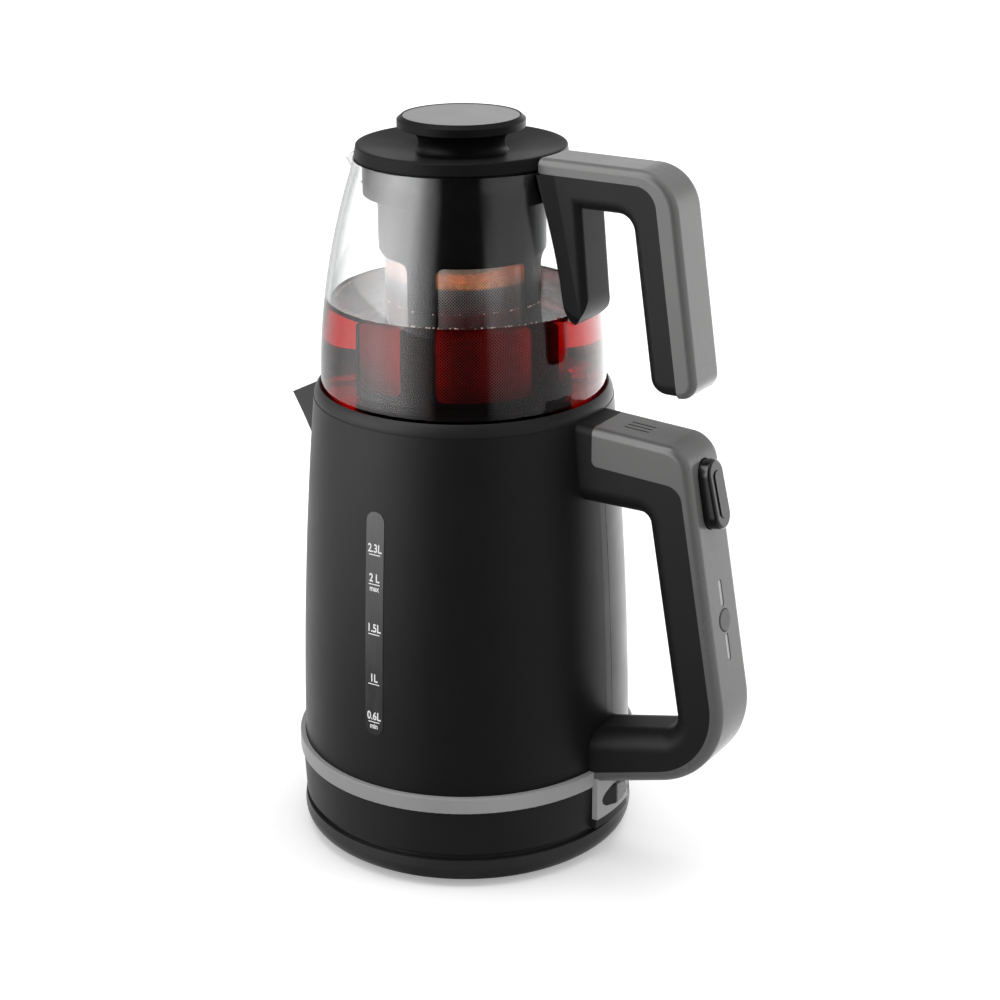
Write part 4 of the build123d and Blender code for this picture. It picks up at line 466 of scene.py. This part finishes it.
class TEAMAKER_OT_finish_kettle(bpy.types.Operator):
    """Finishes the vessel, its skirt, spout, collar and heater"""

    bl_idname = "teamaker.finish_kettle"
    bl_label = "Finish Kettle"

    def execute(self, context):
        finishes = context.scene.tea_finishes
        body = moulded("body_black", finishes.paint_black_and_reflection, 0.38, grain=0.0005, depth=0.000010)
        paint(["kettle_shell"], body)
        spout = moulded("spout_black", finishes.paint_black_and_reflection, 0.40)
        paint(["spout"], spout)
        skirt = moulded("skirt_black", finishes.base_black, 0.40)
        paint(["base_skirt", "skirt_plate"], skirt)
        collar = moulded("collar_black", finishes.base_black, 0.40)
        paint(["collar_ring"], collar)
        paint(["kettle_socket"], moulded("socket_black", finishes.base_black, 0.5))
        band = moulded("trim_grey", finishes.trim_grey, 0.38, depth=0.000006)
        paint(["trim_band"], band)
        paint(["level_window"], self.window())
        steel = brushed("bare_steel", (0.56, 0.56, 0.57), 0.28)
        paint(["heater_plate", "steam_tube", "temperature_sensor"], steel)
        paint(["spout_filter"], brushed("filter_steel", (0.50, 0.50, 0.51), 0.3))
        spreader = brushed("spreader_aluminium", (0.66, 0.67, 0.69), 0.4, (30, 1, 1))
        paint(["heat_spreader", "heating_element", "handle_anchors"], spreader)
        silicone = moulded("silicone", (0.30, 0.30, 0.30), 0.55, depth=0.00002)
        paint(["window_seal", "seat_gasket", "lid_seal", "bracket_pad"], silicone)
        paint(["thermostat_control"], moulded("block_black", finishes.base_black, 0.5))
        paint(["skirt_screws"], screw_steel("skirt_steel"))
        return {"FINISHED"}

    def window(self):
        """Smoky clear plastic over the dark inside of the vessel, made paler towards its top by a painted
        reflection.
        """
        dark = (0.020, 0.020, 0.021)
        painted_reflection_grey = (0.085, 0.085, 0.087)
        finish = Finish("window_clear")
        low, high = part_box("level_window")
        # The climb from dark to pale grey with height is a painted reflection.
        share = finish.spread(finish.height(), 0.0, 1.0, low.z, high.z)
        clouds = finish.noise(0.008, 2.0, finish.stretch((1, 1, 0.3)))
        share = finish.math("ADD", share, finish.spread(clouds, -0.15, 0.15))
        finish.set(
            Base_Color=finish.mix(share, dark, painted_reflection_grey),
            Roughness=0.22,
            Specular_IOR_Level=0.3,
            Normal=finish.bump(clouds, 0.00005),
        )
        return finish.material


class TEAMAKER_OT_finish_handle(bpy.types.Operator):
    """Finishes the kettle's handle, its buttons and the rocker switch"""

    bl_idname = "teamaker.finish_handle"
    bl_label = "Finish Handle"

    def execute(self, context):
        finishes = context.scene.tea_finishes
        grip = moulded("grip_black", finishes.grip_black, 0.48, grain=0.0007, depth=0.000016)
        paint(["handle_core", "pot_handle_core"], grip)
        grey = finishes.shell_grey
        shell = moulded("handle_grey", grey, 0.26, depth=0.000006, mottle=0.05, specular=0.42)
        paint(["handle_shell", "pot_handle_shell"], shell)
        key = moulded("key_grey", grey, 0.36, depth=0.000006, mottle=0.05)
        paint(["round_key"], key)
        button = moulded("button_black", finishes.gloss_black, 0.22, depth=0.000005, specular=0.5)
        paint(["thumb_button"], button)
        lens = moulded("lens_pale", (0.50, 0.50, 0.50), 0.3, depth=0.000005)
        paint(["indicator_lenses"], lens)
        paint(["control_board"], self.board())
        dark = moulded("switch_dark", (0.02, 0.02, 0.022), 0.45)
        paint(["microswitch", "key_switch", "speaker"], dark)
        panel = moulded("panel_grey", finishes.panel_grey, 0.36, depth=0.000006, mottle=0.04)
        paint(["switch_panel"], panel)
        paint(["rocker_switch"], self.rocker(finishes))
        inner = moulded("inner_switch_black", finishes.base_black, 0.5)
        paint(["switch_block"], inner)
        steel = screw_steel("handle_steel")
        paint(["rocker_pin", "handle_screws", "pot_handle_screw"], steel)
        return {"FINISHED"}

    def rocker(self, finishes):
        """Grey, with its front half painted black as painted shade where that half is pressed in, and its
        rear half grey.
        """
        finish = Finish("rocker_grey")
        low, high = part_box("rocker_switch")
        across = finish.add("SeparateXYZ", {0: finish.place}).outputs[1]
        # The black front half is painted shade of the pressed-in half of the rocker.
        rear_clear_of_painted_shade = finish.math("GREATER_THAN", across, (low.y + high.y) / 2)
        finish.set(
            Base_Color=finish.mix(rear_clear_of_painted_shade, finishes.grip_black, shade(finishes.panel_grey, 0.6)),
            Roughness=finish.spread(finish.noise(0.004), 0.24, 0.32),
            Specular_IOR_Level=0.3,
            Normal=finish.bump(finish.noise(0.0006), 0.000005),
        )
        return finish.material

    def board(self):
        """Green solder mask over pale copper tracks."""
        tracks_a_metre = 400
        finish = Finish("board_green")
        place = finish.stretch((1, tracks_a_metre, tracks_a_metre))
        cells = finish.add("TexVoronoi", {"Vector": place, "Scale": 1.0}, distance="MANHATTAN")
        tracks = cells.outputs[0]
        share = finish.spread(tracks, 0.0, 1.0, 0.25, 0.35)
        finish.set(
            Base_Color=finish.mix(share, (0.02, 0.12, 0.04), (0.04, 0.20, 0.07)),
            Roughness=0.35,
            Normal=finish.bump(share, 0.00003),
        )
        return finish.material


# ---- teapot -----------------------------------------------------------------------------


class TEAMAKER_OT_finish_teapot(bpy.types.Operator):
    """Finishes the glass, the infuser basket and the lid"""

    bl_idname = "teamaker.finish_teapot"
    bl_label = "Finish Teapot"

    def execute(self, context):
        finishes = context.scene.tea_finishes
        waterline = context.scene.tea_brew.surface
        # The second colour is the painted shade at the glass's edges.
        glass = clear("teapot_glass", (0.985, 0.99, 0.99), (0.22, 0.23, 0.23), 1.47, waterline)
        paint(["teapot_glass"], glass)
        black = finishes.gloss_black
        basket = moulded("infuser_black", black, 0.30, depth=0.0, specular=0.05)
        paint(["infuser_frame", "infuser_floor"], basket)
        mesh_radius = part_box("infuser_mesh")[1].x
        steel = weave("mesh_steel", (0.42, 0.42, 0.43), 158, mesh_radius, 0.32)
        paint(["infuser_mesh"], steel)
        lid = moulded("lid_black", finishes.grip_black, 0.38, depth=0.000008, specular=0.05)
        paint(["lid_plate", "lid_knob"], lid)
        grey = finishes.insert_grey
        insert = moulded("insert_grey", grey, 0.34, depth=0.000005, mottle=0.04, specular=0.4)
        paint(["knob_insert"], insert)
        paint(["lid_screw"], screw_steel("lid_steel"))
        return {"FINISHED"}


def tea_profile(brew):
    """Radius and height of the tea's outline, from the middle of its floor to its surface."""
    away_from_spout = math.radians(90)
    above_floor = 0.0002
    first_ring = 0.0003
    flat_share = 0.8
    steps = 26
    crowding = 1.6
    # how far in from the rim, and what share of the meniscus is gone there
    rim_curve = ((0.0006, 0.45), (0.0014, 0.8), (0.003, 1.0))
    glass = Wall("teapot_glass")
    floor = brew.surface - glass.reach((0, 0, brew.surface), (0, 0, -1))
    flat = glass.inside_radius(floor + above_floor, away_from_spout) * flat_share
    profile = [(0, floor - brew.overlap), (flat, floor - brew.overlap)]
    for step in range(steps + 1):
        share = (step / steps) ** crowding
        height = floor + first_ring + share * (brew.surface + brew.meniscus - floor - first_ring)
        profile.append((glass.inside_radius(height, away_from_spout) + brew.overlap, height))
    rim = profile[-1][0]
    for inward, drop in rim_curve:
        profile.append((rim - inward, brew.surface + brew.meniscus * (1 - drop)))
    profile.append((0, brew.surface))
    return profile


class TEAMAKER_OT_pour_tea(bpy.types.Operator):
    """Fills the teapot with tea and puts small bubbles along its waterline"""

    bl_idname = "teamaker.pour_tea"
    bl_label = "Pour Tea"

    def execute(self, context):
        brew = context.scene.tea_brew
        profile = tea_profile(brew)
        shape = bmesh.new()
        add_rings(shape, profile, 128)
        new_piece("brewed_tea", shape, self.tea(brew), "teapot")
        self.bubbles(brew, profile[-2][0])
        return {"FINISHED"}

    def tea(self, brew):
        """Clear liquid whose body takes away green and blue light, and that mirrors only at its surface."""
        ripple_length = 0.02
        ripple_depth = 0.00002
        finish = Finish("tea")
        ripples = finish.noise(ripple_length, 1.0)
        on_top = finish.math("GREATER_THAN", finish.height(), brew.surface - brew.meniscus)
        finish.set(
            Base_Color=(1, 1, 1),
            Roughness=0.0,
            IOR=1.33,
            Transmission_Weight=1.0,
            Specular_Tint=finish.mix(on_top, (0, 0, 0), (1, 1, 1)),
            Normal=finish.bump(ripples, ripple_depth),
        )
        finish.let_light_through()
        absorption = finish.add("VolumeAbsorption", {0: brew.tea_colour, 1: brew.tea_density})
        finish.feed(finish.output.inputs["Volume"], absorption.outputs[0])
        return finish.material

    def bubbles(self, brew, wall):
        """Low domes of froth: two of three along the glass, and the rest round the basket."""
        above_surface = 0.3
        chance = random.Random(7)
        basket = Wall("infuser_frame", "infuser_mesh")
        shape = bmesh.new()
        for index in range(brew.bubble_count):
            radius = brew.bubble_radius * chance.uniform(0.5, 1.5)
            angle = chance.uniform(0, math.tau)
            if index % 3:
                reach = wall - radius
            else:
                reach = basket.outside_radius(brew.surface, angle) + radius
            middle = brew.surface + above_surface * radius
            place = Matrix.Translation(ring_point(reach, angle, middle))
            bmesh.ops.create_icosphere(shape, subdivisions=2, radius=radius, matrix=place)
        foam = moulded("tea_froth", (0.75, 0.55, 0.48), 0.15, depth=0.000003)
        new_piece("tea_bubbles", shape, foam, "teapot")


class TEAMAKER_OT_add_leaves(bpy.types.Operator):
    """Heaps tea leaves in the infuser basket"""

    bl_idname = "teamaker.add_leaves"
    bl_label = "Add Tea Leaves"

    def execute(self, context):
        brew = context.scene.tea_brew
        mesh_height = 0.26
        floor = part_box("infuser_floor")[1].z + 0.2 * MILLIMETRE
        radius = Wall("infuser_mesh").inside_radius(mesh_height, 0) - 0.5 * MILLIMETRE
        shape = bmesh.new()
        self.heap(shape, brew, floor, radius)
        self.flakes(shape, brew, radius)
        new_piece("tea_leaves", shape, self.leaf(brew), "infuser")
        return {"FINISHED"}

    def crest(self, brew, x, y, radius):
        """Height of the heap over a point: lower in the middle, with lumps."""
        lumps_a_metre = 160
        lump_height = 0.0014
        lumps = noise.fractal(Vector((x, y, 0)) * lumps_a_metre, 1.0, 2.0, 3) * lump_height
        return brew.leaf_crest - brew.leaf_dip * (1 - math.hypot(x, y) / radius) + lumps

    def heap(self, shape, brew, floor, radius):
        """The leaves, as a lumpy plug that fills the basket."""
        rings = 14
        segments = 72
        side_heights = (0.25, 0.262, 0.27)
        side = [(0, floor), (radius, floor)] + [(radius, height) for height in side_heights]
        crown = [(radius * (1 - step / rings), brew.leaf_crest) for step in range(rings)]
        middle = [(0, self.crest(brew, 0, 0, radius))]

        def wobble(point, row):
            if row >= len(side):
                point.z = self.crest(brew, point.x, point.y, radius)
            return point

        add_rings(shape, side + crown + middle, segments, wobble)

    def flakes(self, shape, brew, radius):
        """Curled strips that lie on the heap, clear of the basket's wall."""
        widest = radius * 0.97
        chance = random.Random(11)
        for _ in range(brew.leaf_count):
            reach = widest * math.sqrt(chance.random())
            angle = chance.uniform(0, math.tau)
            x, y = reach * math.cos(angle), reach * math.sin(angle)
            z = self.crest(brew, x, y, radius) + chance.uniform(-0.6, 1.0) * MILLIMETRE
            size = brew.leaf_length * chance.uniform(0.5, 1.3)
            turn = Matrix.Rotation(chance.uniform(0, math.tau), 4, "Z")
            tilt = Matrix.Rotation(chance.uniform(-0.6, 0.6), 4, "X")
            place = Matrix.Translation((x, y, z)) @ turn @ tilt
            self.strip(shape, place, size, chance)

    def strip(self, shape, place, size, chance):
        """One leaf: a narrow strip, pointed at both ends, curled along its length."""
        curl = chance.uniform(0.1, 0.5)
        width = size * chance.uniform(0.12, 0.28)
        tip = 0.00005
        steps = 5
        rows = []
        for step in range(steps + 1):
            share = step / steps - 0.5
            half = width * (1 - (2 * share) ** 2) + tip
            rise = curl * size * share * share
            edges = [place @ Vector((share * size, side * half, rise)) for side in (-1, 1)]
            rows.append([shape.verts.new(edge) for edge in edges])
        for first, second in zip(rows, rows[1:]):
            shape.faces.new((first[0], second[0], second[1], first[1]))

    def leaf(self, brew):
        """Orange fruit round brown and olive shreds with a painted glow where they are dry, and darker
        lower down, partly as wet leaves and partly as painted shade.
        """
        shreds_a_metre = 520.0
        fruit_start = 0.018
        fruit_end = 0.020
        wet_and_shaded_line = brew.leaf_crest - 0.0035
        dry_and_glowing_line = brew.leaf_crest - 0.0022
        finish = Finish("tea_leaf")
        cells = finish.add("TexVoronoi", {"Vector": finish.place, "Scale": shreds_a_metre}).outputs[1]
        parts = finish.add("SeparateColor", {0: cells}).outputs
        fruit = finish.mix(parts[0], (1.00, 0.40, 0.05), (0.60, 0.14, 0.02))
        shreds = finish.mix(parts[0], (0.50, 0.27, 0.12), (0.16, 0.07, 0.03))
        shreds = finish.mix(finish.math("GREATER_THAN", parts[1], 0.75), shreds, (0.14, 0.20, 0.08))
        away = finish.add("VectorMath", {0: finish.stretch((1, 1, 0))}, operation="LENGTH").outputs["Value"]
        away = finish.math("ADD", away, finish.spread(finish.noise(0.004), -0.002, 0.002))
        tint = finish.mix(finish.spread(away, 0.0, 1.0, fruit_start, fruit_end), shreds, fruit)
        # Below the wet line the leaves turn dark, partly as wet leaves and partly as painted shade inside
        # the basket.
        dry_and_glowing = finish.spread(finish.height(), 0.0, 1.0, wet_and_shaded_line, dry_and_glowing_line)
        finish.set(
            Base_Color=finish.mix(dry_and_glowing, (0.02, 0.008, 0.004), tint),
            Roughness=0.55,
            # The emission is a painted glow that stands in for light reaching the leaves through the
            # basket.
            Emission_Color=finish.mix(dry_and_glowing, (0, 0, 0), tint),
            Emission_Strength=0.60,
            Normal=finish.bump(finish.noise(0.0007, 3.0), 0.0002),
        )
        return finish.material


# ---- printed marks and small details ----------------------------------------------------


LEVEL_MARKS = (
    # litres, height above the table, and the small word under the line
    ("2.3L", 0.1687, ""),
    ("2 L", 0.1540, "max"),
    ("1.5L", 0.1288, ""),
    ("1L", 0.1032, ""),
    ("0.6L", 0.0834, "min"),
)


class TEAMAKER_OT_mark_levels(bpy.types.Operator):
    """Prints the scale on the level window"""

    bl_idname = "teamaker.mark_levels"
    bl_label = "Mark Levels"

    def execute(self, context):
        marks = context.scene.tea_marks
        ink = moulded("mark_white", context.scene.tea_finishes.mark_white, 0.5, depth=0.000004)
        window = Wall("level_window")
        shape = bmesh.new()
        gap = 0.0013
        outside = -0.5
        for litres, height, word in LEVEL_MARKS:
            self.line(shape, marks, height)
            self.words(shape, litres, marks.digit_height, height + gap)
            if word:
                self.words(shape, word, marks.word_height, height - gap - 0.75 * marks.word_height)
        for vertex in shape.verts:
            across, up = vertex.co.x, vertex.co.y
            reach = window.reach((across, outside, up), (0, 1, 0))
            vertex.co = Vector((across, reach + outside - marks.ink_lift, up))
        new_piece("level_marks", shape, ink, "kettle", smooth=False)
        return {"FINISHED"}

    def line(self, shape, marks, height):
        """A short line, drawn as cells so that it can bend round the window."""
        steps = 8
        rows = []
        for step in range(steps + 1):
            across = marks.line_length * (step / steps - 0.5)
            ends = [height + side * marks.line_width / 2 for side in (-1, 1)]
            rows.append([shape.verts.new((across, end, 0)) for end in ends])
        for first, second in zip(rows, rows[1:]):
            shape.faces.new((first[0], second[0], second[1], first[1]))

    def words(self, shape, text, size, base):
        """Letters of one height, centred on the window, with their foot at a height."""
        capital_share = 0.7
        stroke_share = 0.035
        narrowing = 0.80
        curve = bpy.data.curves.new("words", "FONT")
        curve.body = text
        curve.align_x = "CENTER"
        curve.size = size / capital_share
        curve.offset = size * stroke_share
        writer = bpy.data.objects.new("words", curve)
        bpy.context.scene.collection.objects.link(writer)
        bpy.context.view_layer.update()
        written = writer.evaluated_get(bpy.context.evaluated_depsgraph_get())
        mesh = bpy.data.meshes.new_from_object(written)
        mesh.transform(Matrix.Translation((0, base, 0)) @ Matrix.Diagonal((narrowing, 1, 1, 1)))
        shape.from_mesh(mesh)
        bpy.data.objects.remove(writer)
        bpy.data.curves.remove(curve)
        bpy.data.meshes.remove(mesh)


class TEAMAKER_OT_add_seam(bpy.types.Operator):
    """Adds the vessel's weld line behind the handle"""

    bl_idname = "teamaker.add_seam"
    bl_label = "Add Weld Line"

    def execute(self, context):
        marks = context.scene.tea_marks
        low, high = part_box("kettle_shell")
        vessel = Wall("kettle_shell")
        half = marks.seam_width / 2
        margin = 0.0005
        sunk = -0.0001
        raised = 0.00008
        spots = ((-half, sunk), (-half * 0.5, raised), (half * 0.5, raised), (half, sunk))
        shape = bmesh.new()
        steps = 48
        rows = []
        for step in range(steps + 1):
            height = low.z + margin + (high.z - low.z - 2 * margin) * step / steps
            radius = vessel.outside_radius(height, marks.seam_angle)
            rows.append([
                shape.verts.new(ring_point(radius + lift, marks.seam_angle + across / radius, height))
                for across, lift in spots
            ])
        for lower, upper in zip(rows, rows[1:]):
            for column in range(len(spots) - 1):
                shape.faces.new((lower[column], lower[column + 1], upper[column + 1], upper[column]))
        tint = shade(context.scene.tea_finishes.paint_black_and_reflection, 1.6)
        new_piece("weld_line", shape, moulded("weld_black", tint, 0.3), "kettle")
        return {"FINISHED"}


# ---- studio -----------------------------------------------------------------------------


# What gloss mirrors, as a brightness at each angle: degrees round the object from the camera's
# side, with the left below zero. First what lies level with the object, then what lies above it,
# and then the floor close to it.
FAR_LEVELS = (
    (-180, 0.9),
    (-135, 0.9),
    (-116, 0.9),
    (-106, 2.2),
    (-84, 5.0),
    (-70, 7.0),
    (-50, 5.5),
    (-38, 2.4),
    (-22, 0.02),
    (17, 0.02),
    (23, 0.7),
    (70, 0.8),
    (95, 1.2),
    (120, 2.4),
    (160, 2.6),
    (180, 0.9),
)

HIGH_LEVELS = (
    (-180, 0.35),
    (-125, 0.4),
    (-105, 2.0),
    (-80, 5.5),
    (-50, 5.0),
    (-35, 1.5),
    (-20, 0.03),
    (17, 0.03),
    (35, 0.6),
    (120, 0.7),
    (180, 0.35),
)

NEAR_LEVELS = (
    (-180, 0.9),
    (-140, 1.2),
    (-118, 1.1),
    (-95, 0.8),
    (-60, 0.6),
    (-35, 0.5),
    (-20, 0.1),
    (17, 0.1),
    (35, 0.5),
    (70, 0.7),
    (95, 1.4),
    (115, 2.4),
    (130, 3.0),
    (160, 3.0),
    (180, 0.9),
)


SOFT_BOXES = (
    # name, place, width and height, and the setting and share that give its power
    ("top_lamp", (0.1, 0.1, 1.6), (1.5, 1.5), "top_power", 1.0),
    ("left_lamp", (-1.25, -0.75, 0.75), (0.7, 1.3), "side_power", 0.5),
    ("right_lamp", (1.35, 0.55, 0.75), (0.7, 1.3), "side_power", 0.4),
)


class TEAMAKER_OT_build_studio(bpy.types.Operator):
    """Adds the floor, the lamps, the white surroundings and the camera"""

    bl_idname = "teamaker.build_studio"
    bl_label = "Build Studio"

    def execute(self, context):
        studio = context.scene.tea_studio
        self.floor(studio)
        self.surroundings(context, studio)
        for name, place, size, setting, share in SOFT_BOXES:
            self.lamp(name, place, size, getattr(studio, setting) * share)
        self.camera(context, studio)
        context.scene.view_settings.view_transform = "Standard"
        return {"FINISHED"}

    def floor(self, studio):
        """A white floor that still shows the object's shadow."""
        glow_start = 0.25
        glow_end = 1.6
        far_glow = 0.75
        mirror_start = 0.3
        mirror_end = 1.0
        far_share = 0.55
        shape = bmesh.new()
        bmesh.ops.create_grid(shape, x_segments=1, y_segments=1, size=studio.floor_size / 2)
        mesh = bpy.data.meshes.new("studio_floor")
        shape.to_mesh(mesh)
        shape.free()
        finish = Finish("floor_white")
        grain = finish.noise(0.01, 3.0)
        finish.set(
            Base_Color=finish.mix(grain, (0.86, 0.86, 0.86), (0.88, 0.88, 0.88)),
            Roughness=0.9,
            Specular_IOR_Level=0.0,
        )
        away = finish.add("VectorMath", {0: finish.place}, operation="LENGTH").outputs["Value"]
        level = finish.spread(away, studio.floor_glow, far_glow, glow_start, glow_end)
        seen = finish.math("MULTIPLY", finish.any_ray("Is Camera Ray", "Is Transmission Ray"), level)
        glow = finish.add("Emission", {"Color": (1, 1, 1), "Strength": seen})
        lit = finish.add("AddShader", {0: finish.shader.outputs[0], 1: glow.outputs[0]}).outputs[0]
        near, far = [self.around(finish, studio, levels) for levels in (NEAR_LEVELS, FAR_LEVELS)]
        share = finish.spread(away, 0.0, far_share, mirror_start, mirror_end)
        level = self.between(finish, share, near, far)
        mirrored = finish.add("Emission", {"Color": (1, 1, 1), "Strength": level})
        surface = finish.blend(finish.mirrored_ray(), lit, mirrored.outputs[0])
        finish.feed(finish.output.inputs["Surface"], surface)
        mesh.materials.append(finish.material)
        floor = bpy.data.objects.new("studio_floor", mesh)
        bpy.context.scene.collection.objects.link(floor)

    def between(self, wiring, share, first, second):
        """A number between two numbers."""
        step = wiring.math("MULTIPLY", share, wiring.math("SUBTRACT", second, first))
        return wiring.math("ADD", first, step)

    def around(self, wiring, studio, levels):
        """What gloss mirrors: the studio's brightness at each angle round the object."""
        front = math.atan2(studio.camera_y, studio.camera_x)
        spin = {"Vector": wiring.place, "Angle": -front}
        parts = wiring.add("VectorRotate", spin, rotation_type="Z_AXIS").outputs[0]
        parts = wiring.add("SeparateXYZ", {0: parts}).outputs
        angle = wiring.math("ARCTAN2", parts[1], parts[0])
        ramp = wiring.add("ValToRGB", {0: wiring.spread(angle, 0.0, 1.0, -math.pi, math.pi)})
        stops = ramp.color_ramp.elements
        brightest = max(level for _, level in levels)
        while len(stops) < len(levels):
            stops.new(0.5)
        for stop, (degrees, level) in zip(stops, levels):
            stop.position = 0.5 + degrees / 360
            stop.color = (*[level / brightest] * 3, 1)
        return wiring.math("MULTIPLY", ramp.outputs[0], brightest)

    def surroundings(self, context, studio):
        """White to the eye, a plain even light on the object, and the studio's boxes in its gloss."""
        high_start = 0.12
        high_end = 0.33
        world = bpy.data.worlds.new("studio_world")
        context.scene.world = world
        world.use_nodes = True
        wiring = Wiring(world.node_tree, "Generated")
        far, high = [self.around(wiring, studio, levels) for levels in (FAR_LEVELS, HIGH_LEVELS)]
        share = wiring.spread(wiring.height(), 0.0, 1.0, high_start, high_end)
        level = self.between(wiring, share, far, high)
        light, mirrored, white = [
            wiring.add("Background", {"Color": (1, 1, 1), "Strength": strength}).outputs[0]
            for strength in (studio.room_light, level, 1.0)
        ]
        surface = wiring.blend(wiring.any_ray("Is Camera Ray", "Is Transmission Ray"), light, white)
        surface = wiring.blend(wiring.mirrored_ray(), surface, mirrored)
        wiring.feed(world.node_tree.nodes["World Output"].inputs["Surface"], surface)

    def lamp(self, name, place, size, power):
        """A soft box that faces the middle of the object, and that gloss and glass don't show."""
        light = bpy.data.lights.new(name, "AREA")
        light.shape = "RECTANGLE"
        light.size, light.size_y = size
        light.energy = power
        lamp = bpy.data.objects.new(name, light)
        lamp.visible_glossy = False
        lamp.visible_transmission = False
        middle = (cad_low + cad_high) / 2
        lamp.location = place
        lamp.rotation_euler = (middle - lamp.location).to_track_quat("-Z", "Y").to_euler()
        bpy.context.scene.collection.objects.link(lamp)

    def camera(self, context, studio):
        """The camera, which looks down on the object from beside its handles."""
        full_frame = 36
        data = bpy.data.cameras.new("studio_camera")
        data.lens = studio.lens
        data.sensor_width = full_frame
        camera = bpy.data.objects.new("studio_camera", data)
        place = Vector((studio.camera_x, studio.camera_y, studio.camera_z))
        aim = Vector((studio.aim_x, studio.aim_y, studio.aim_z))
        turn = (aim - place).to_track_quat("-Z", "Y").to_matrix().to_4x4()
        roll = Matrix.Rotation(studio.roll, 4, "Z")
        camera.matrix_world = Matrix.Translation(place) @ turn @ roll
        context.scene.collection.objects.link(camera)
        context.scene.camera = camera


# ---- sidebar and registration -----------------------------------------------------------


OPERATORS = (
    TEAMAKER_OT_build_studio,
    TEAMAKER_OT_finish_base,
    TEAMAKER_OT_finish_kettle,
    TEAMAKER_OT_finish_handle,
    TEAMAKER_OT_finish_teapot,
    TEAMAKER_OT_pour_tea,
    TEAMAKER_OT_add_leaves,
    TEAMAKER_OT_mark_levels,
    TEAMAKER_OT_add_seam,
)


class TEAMAKER_PT_sidebar(bpy.types.Panel):
    """Lists the tea maker's steps and settings"""

    bl_idname = "TEAMAKER_PT_sidebar"
    bl_label = "Tea Maker"
    bl_space_type = "VIEW_3D"
    bl_region_type = "UI"
    bl_category = "Tea Maker"

    def draw(self, context):
        for operator in OPERATORS:
            self.layout.operator(operator.bl_idname)
        for name, group in SETTINGS.items():
            settings = getattr(context.scene, name)
            column = self.layout.box().column()
            for field in group.__annotations__:
                column.prop(settings, field)


CLASSES = (*SETTINGS.values(), *OPERATORS, TEAMAKER_PT_sidebar)


def register():
    for item in CLASSES:
        bpy.utils.register_class(item)
    for name, group in SETTINGS.items():
        setattr(bpy.types.Scene, name, PointerProperty(type=group))


def unregister():
    for name in SETTINGS:
        delattr(bpy.types.Scene, name)
    for item in reversed(CLASSES):
        bpy.utils.unregister_class(item)


def main():
    register()
    for operator in OPERATORS:
        module, name = operator.bl_idname.split(".")
        getattr(getattr(bpy.ops, module), name)()


if __name__ == "__main__":
    main()
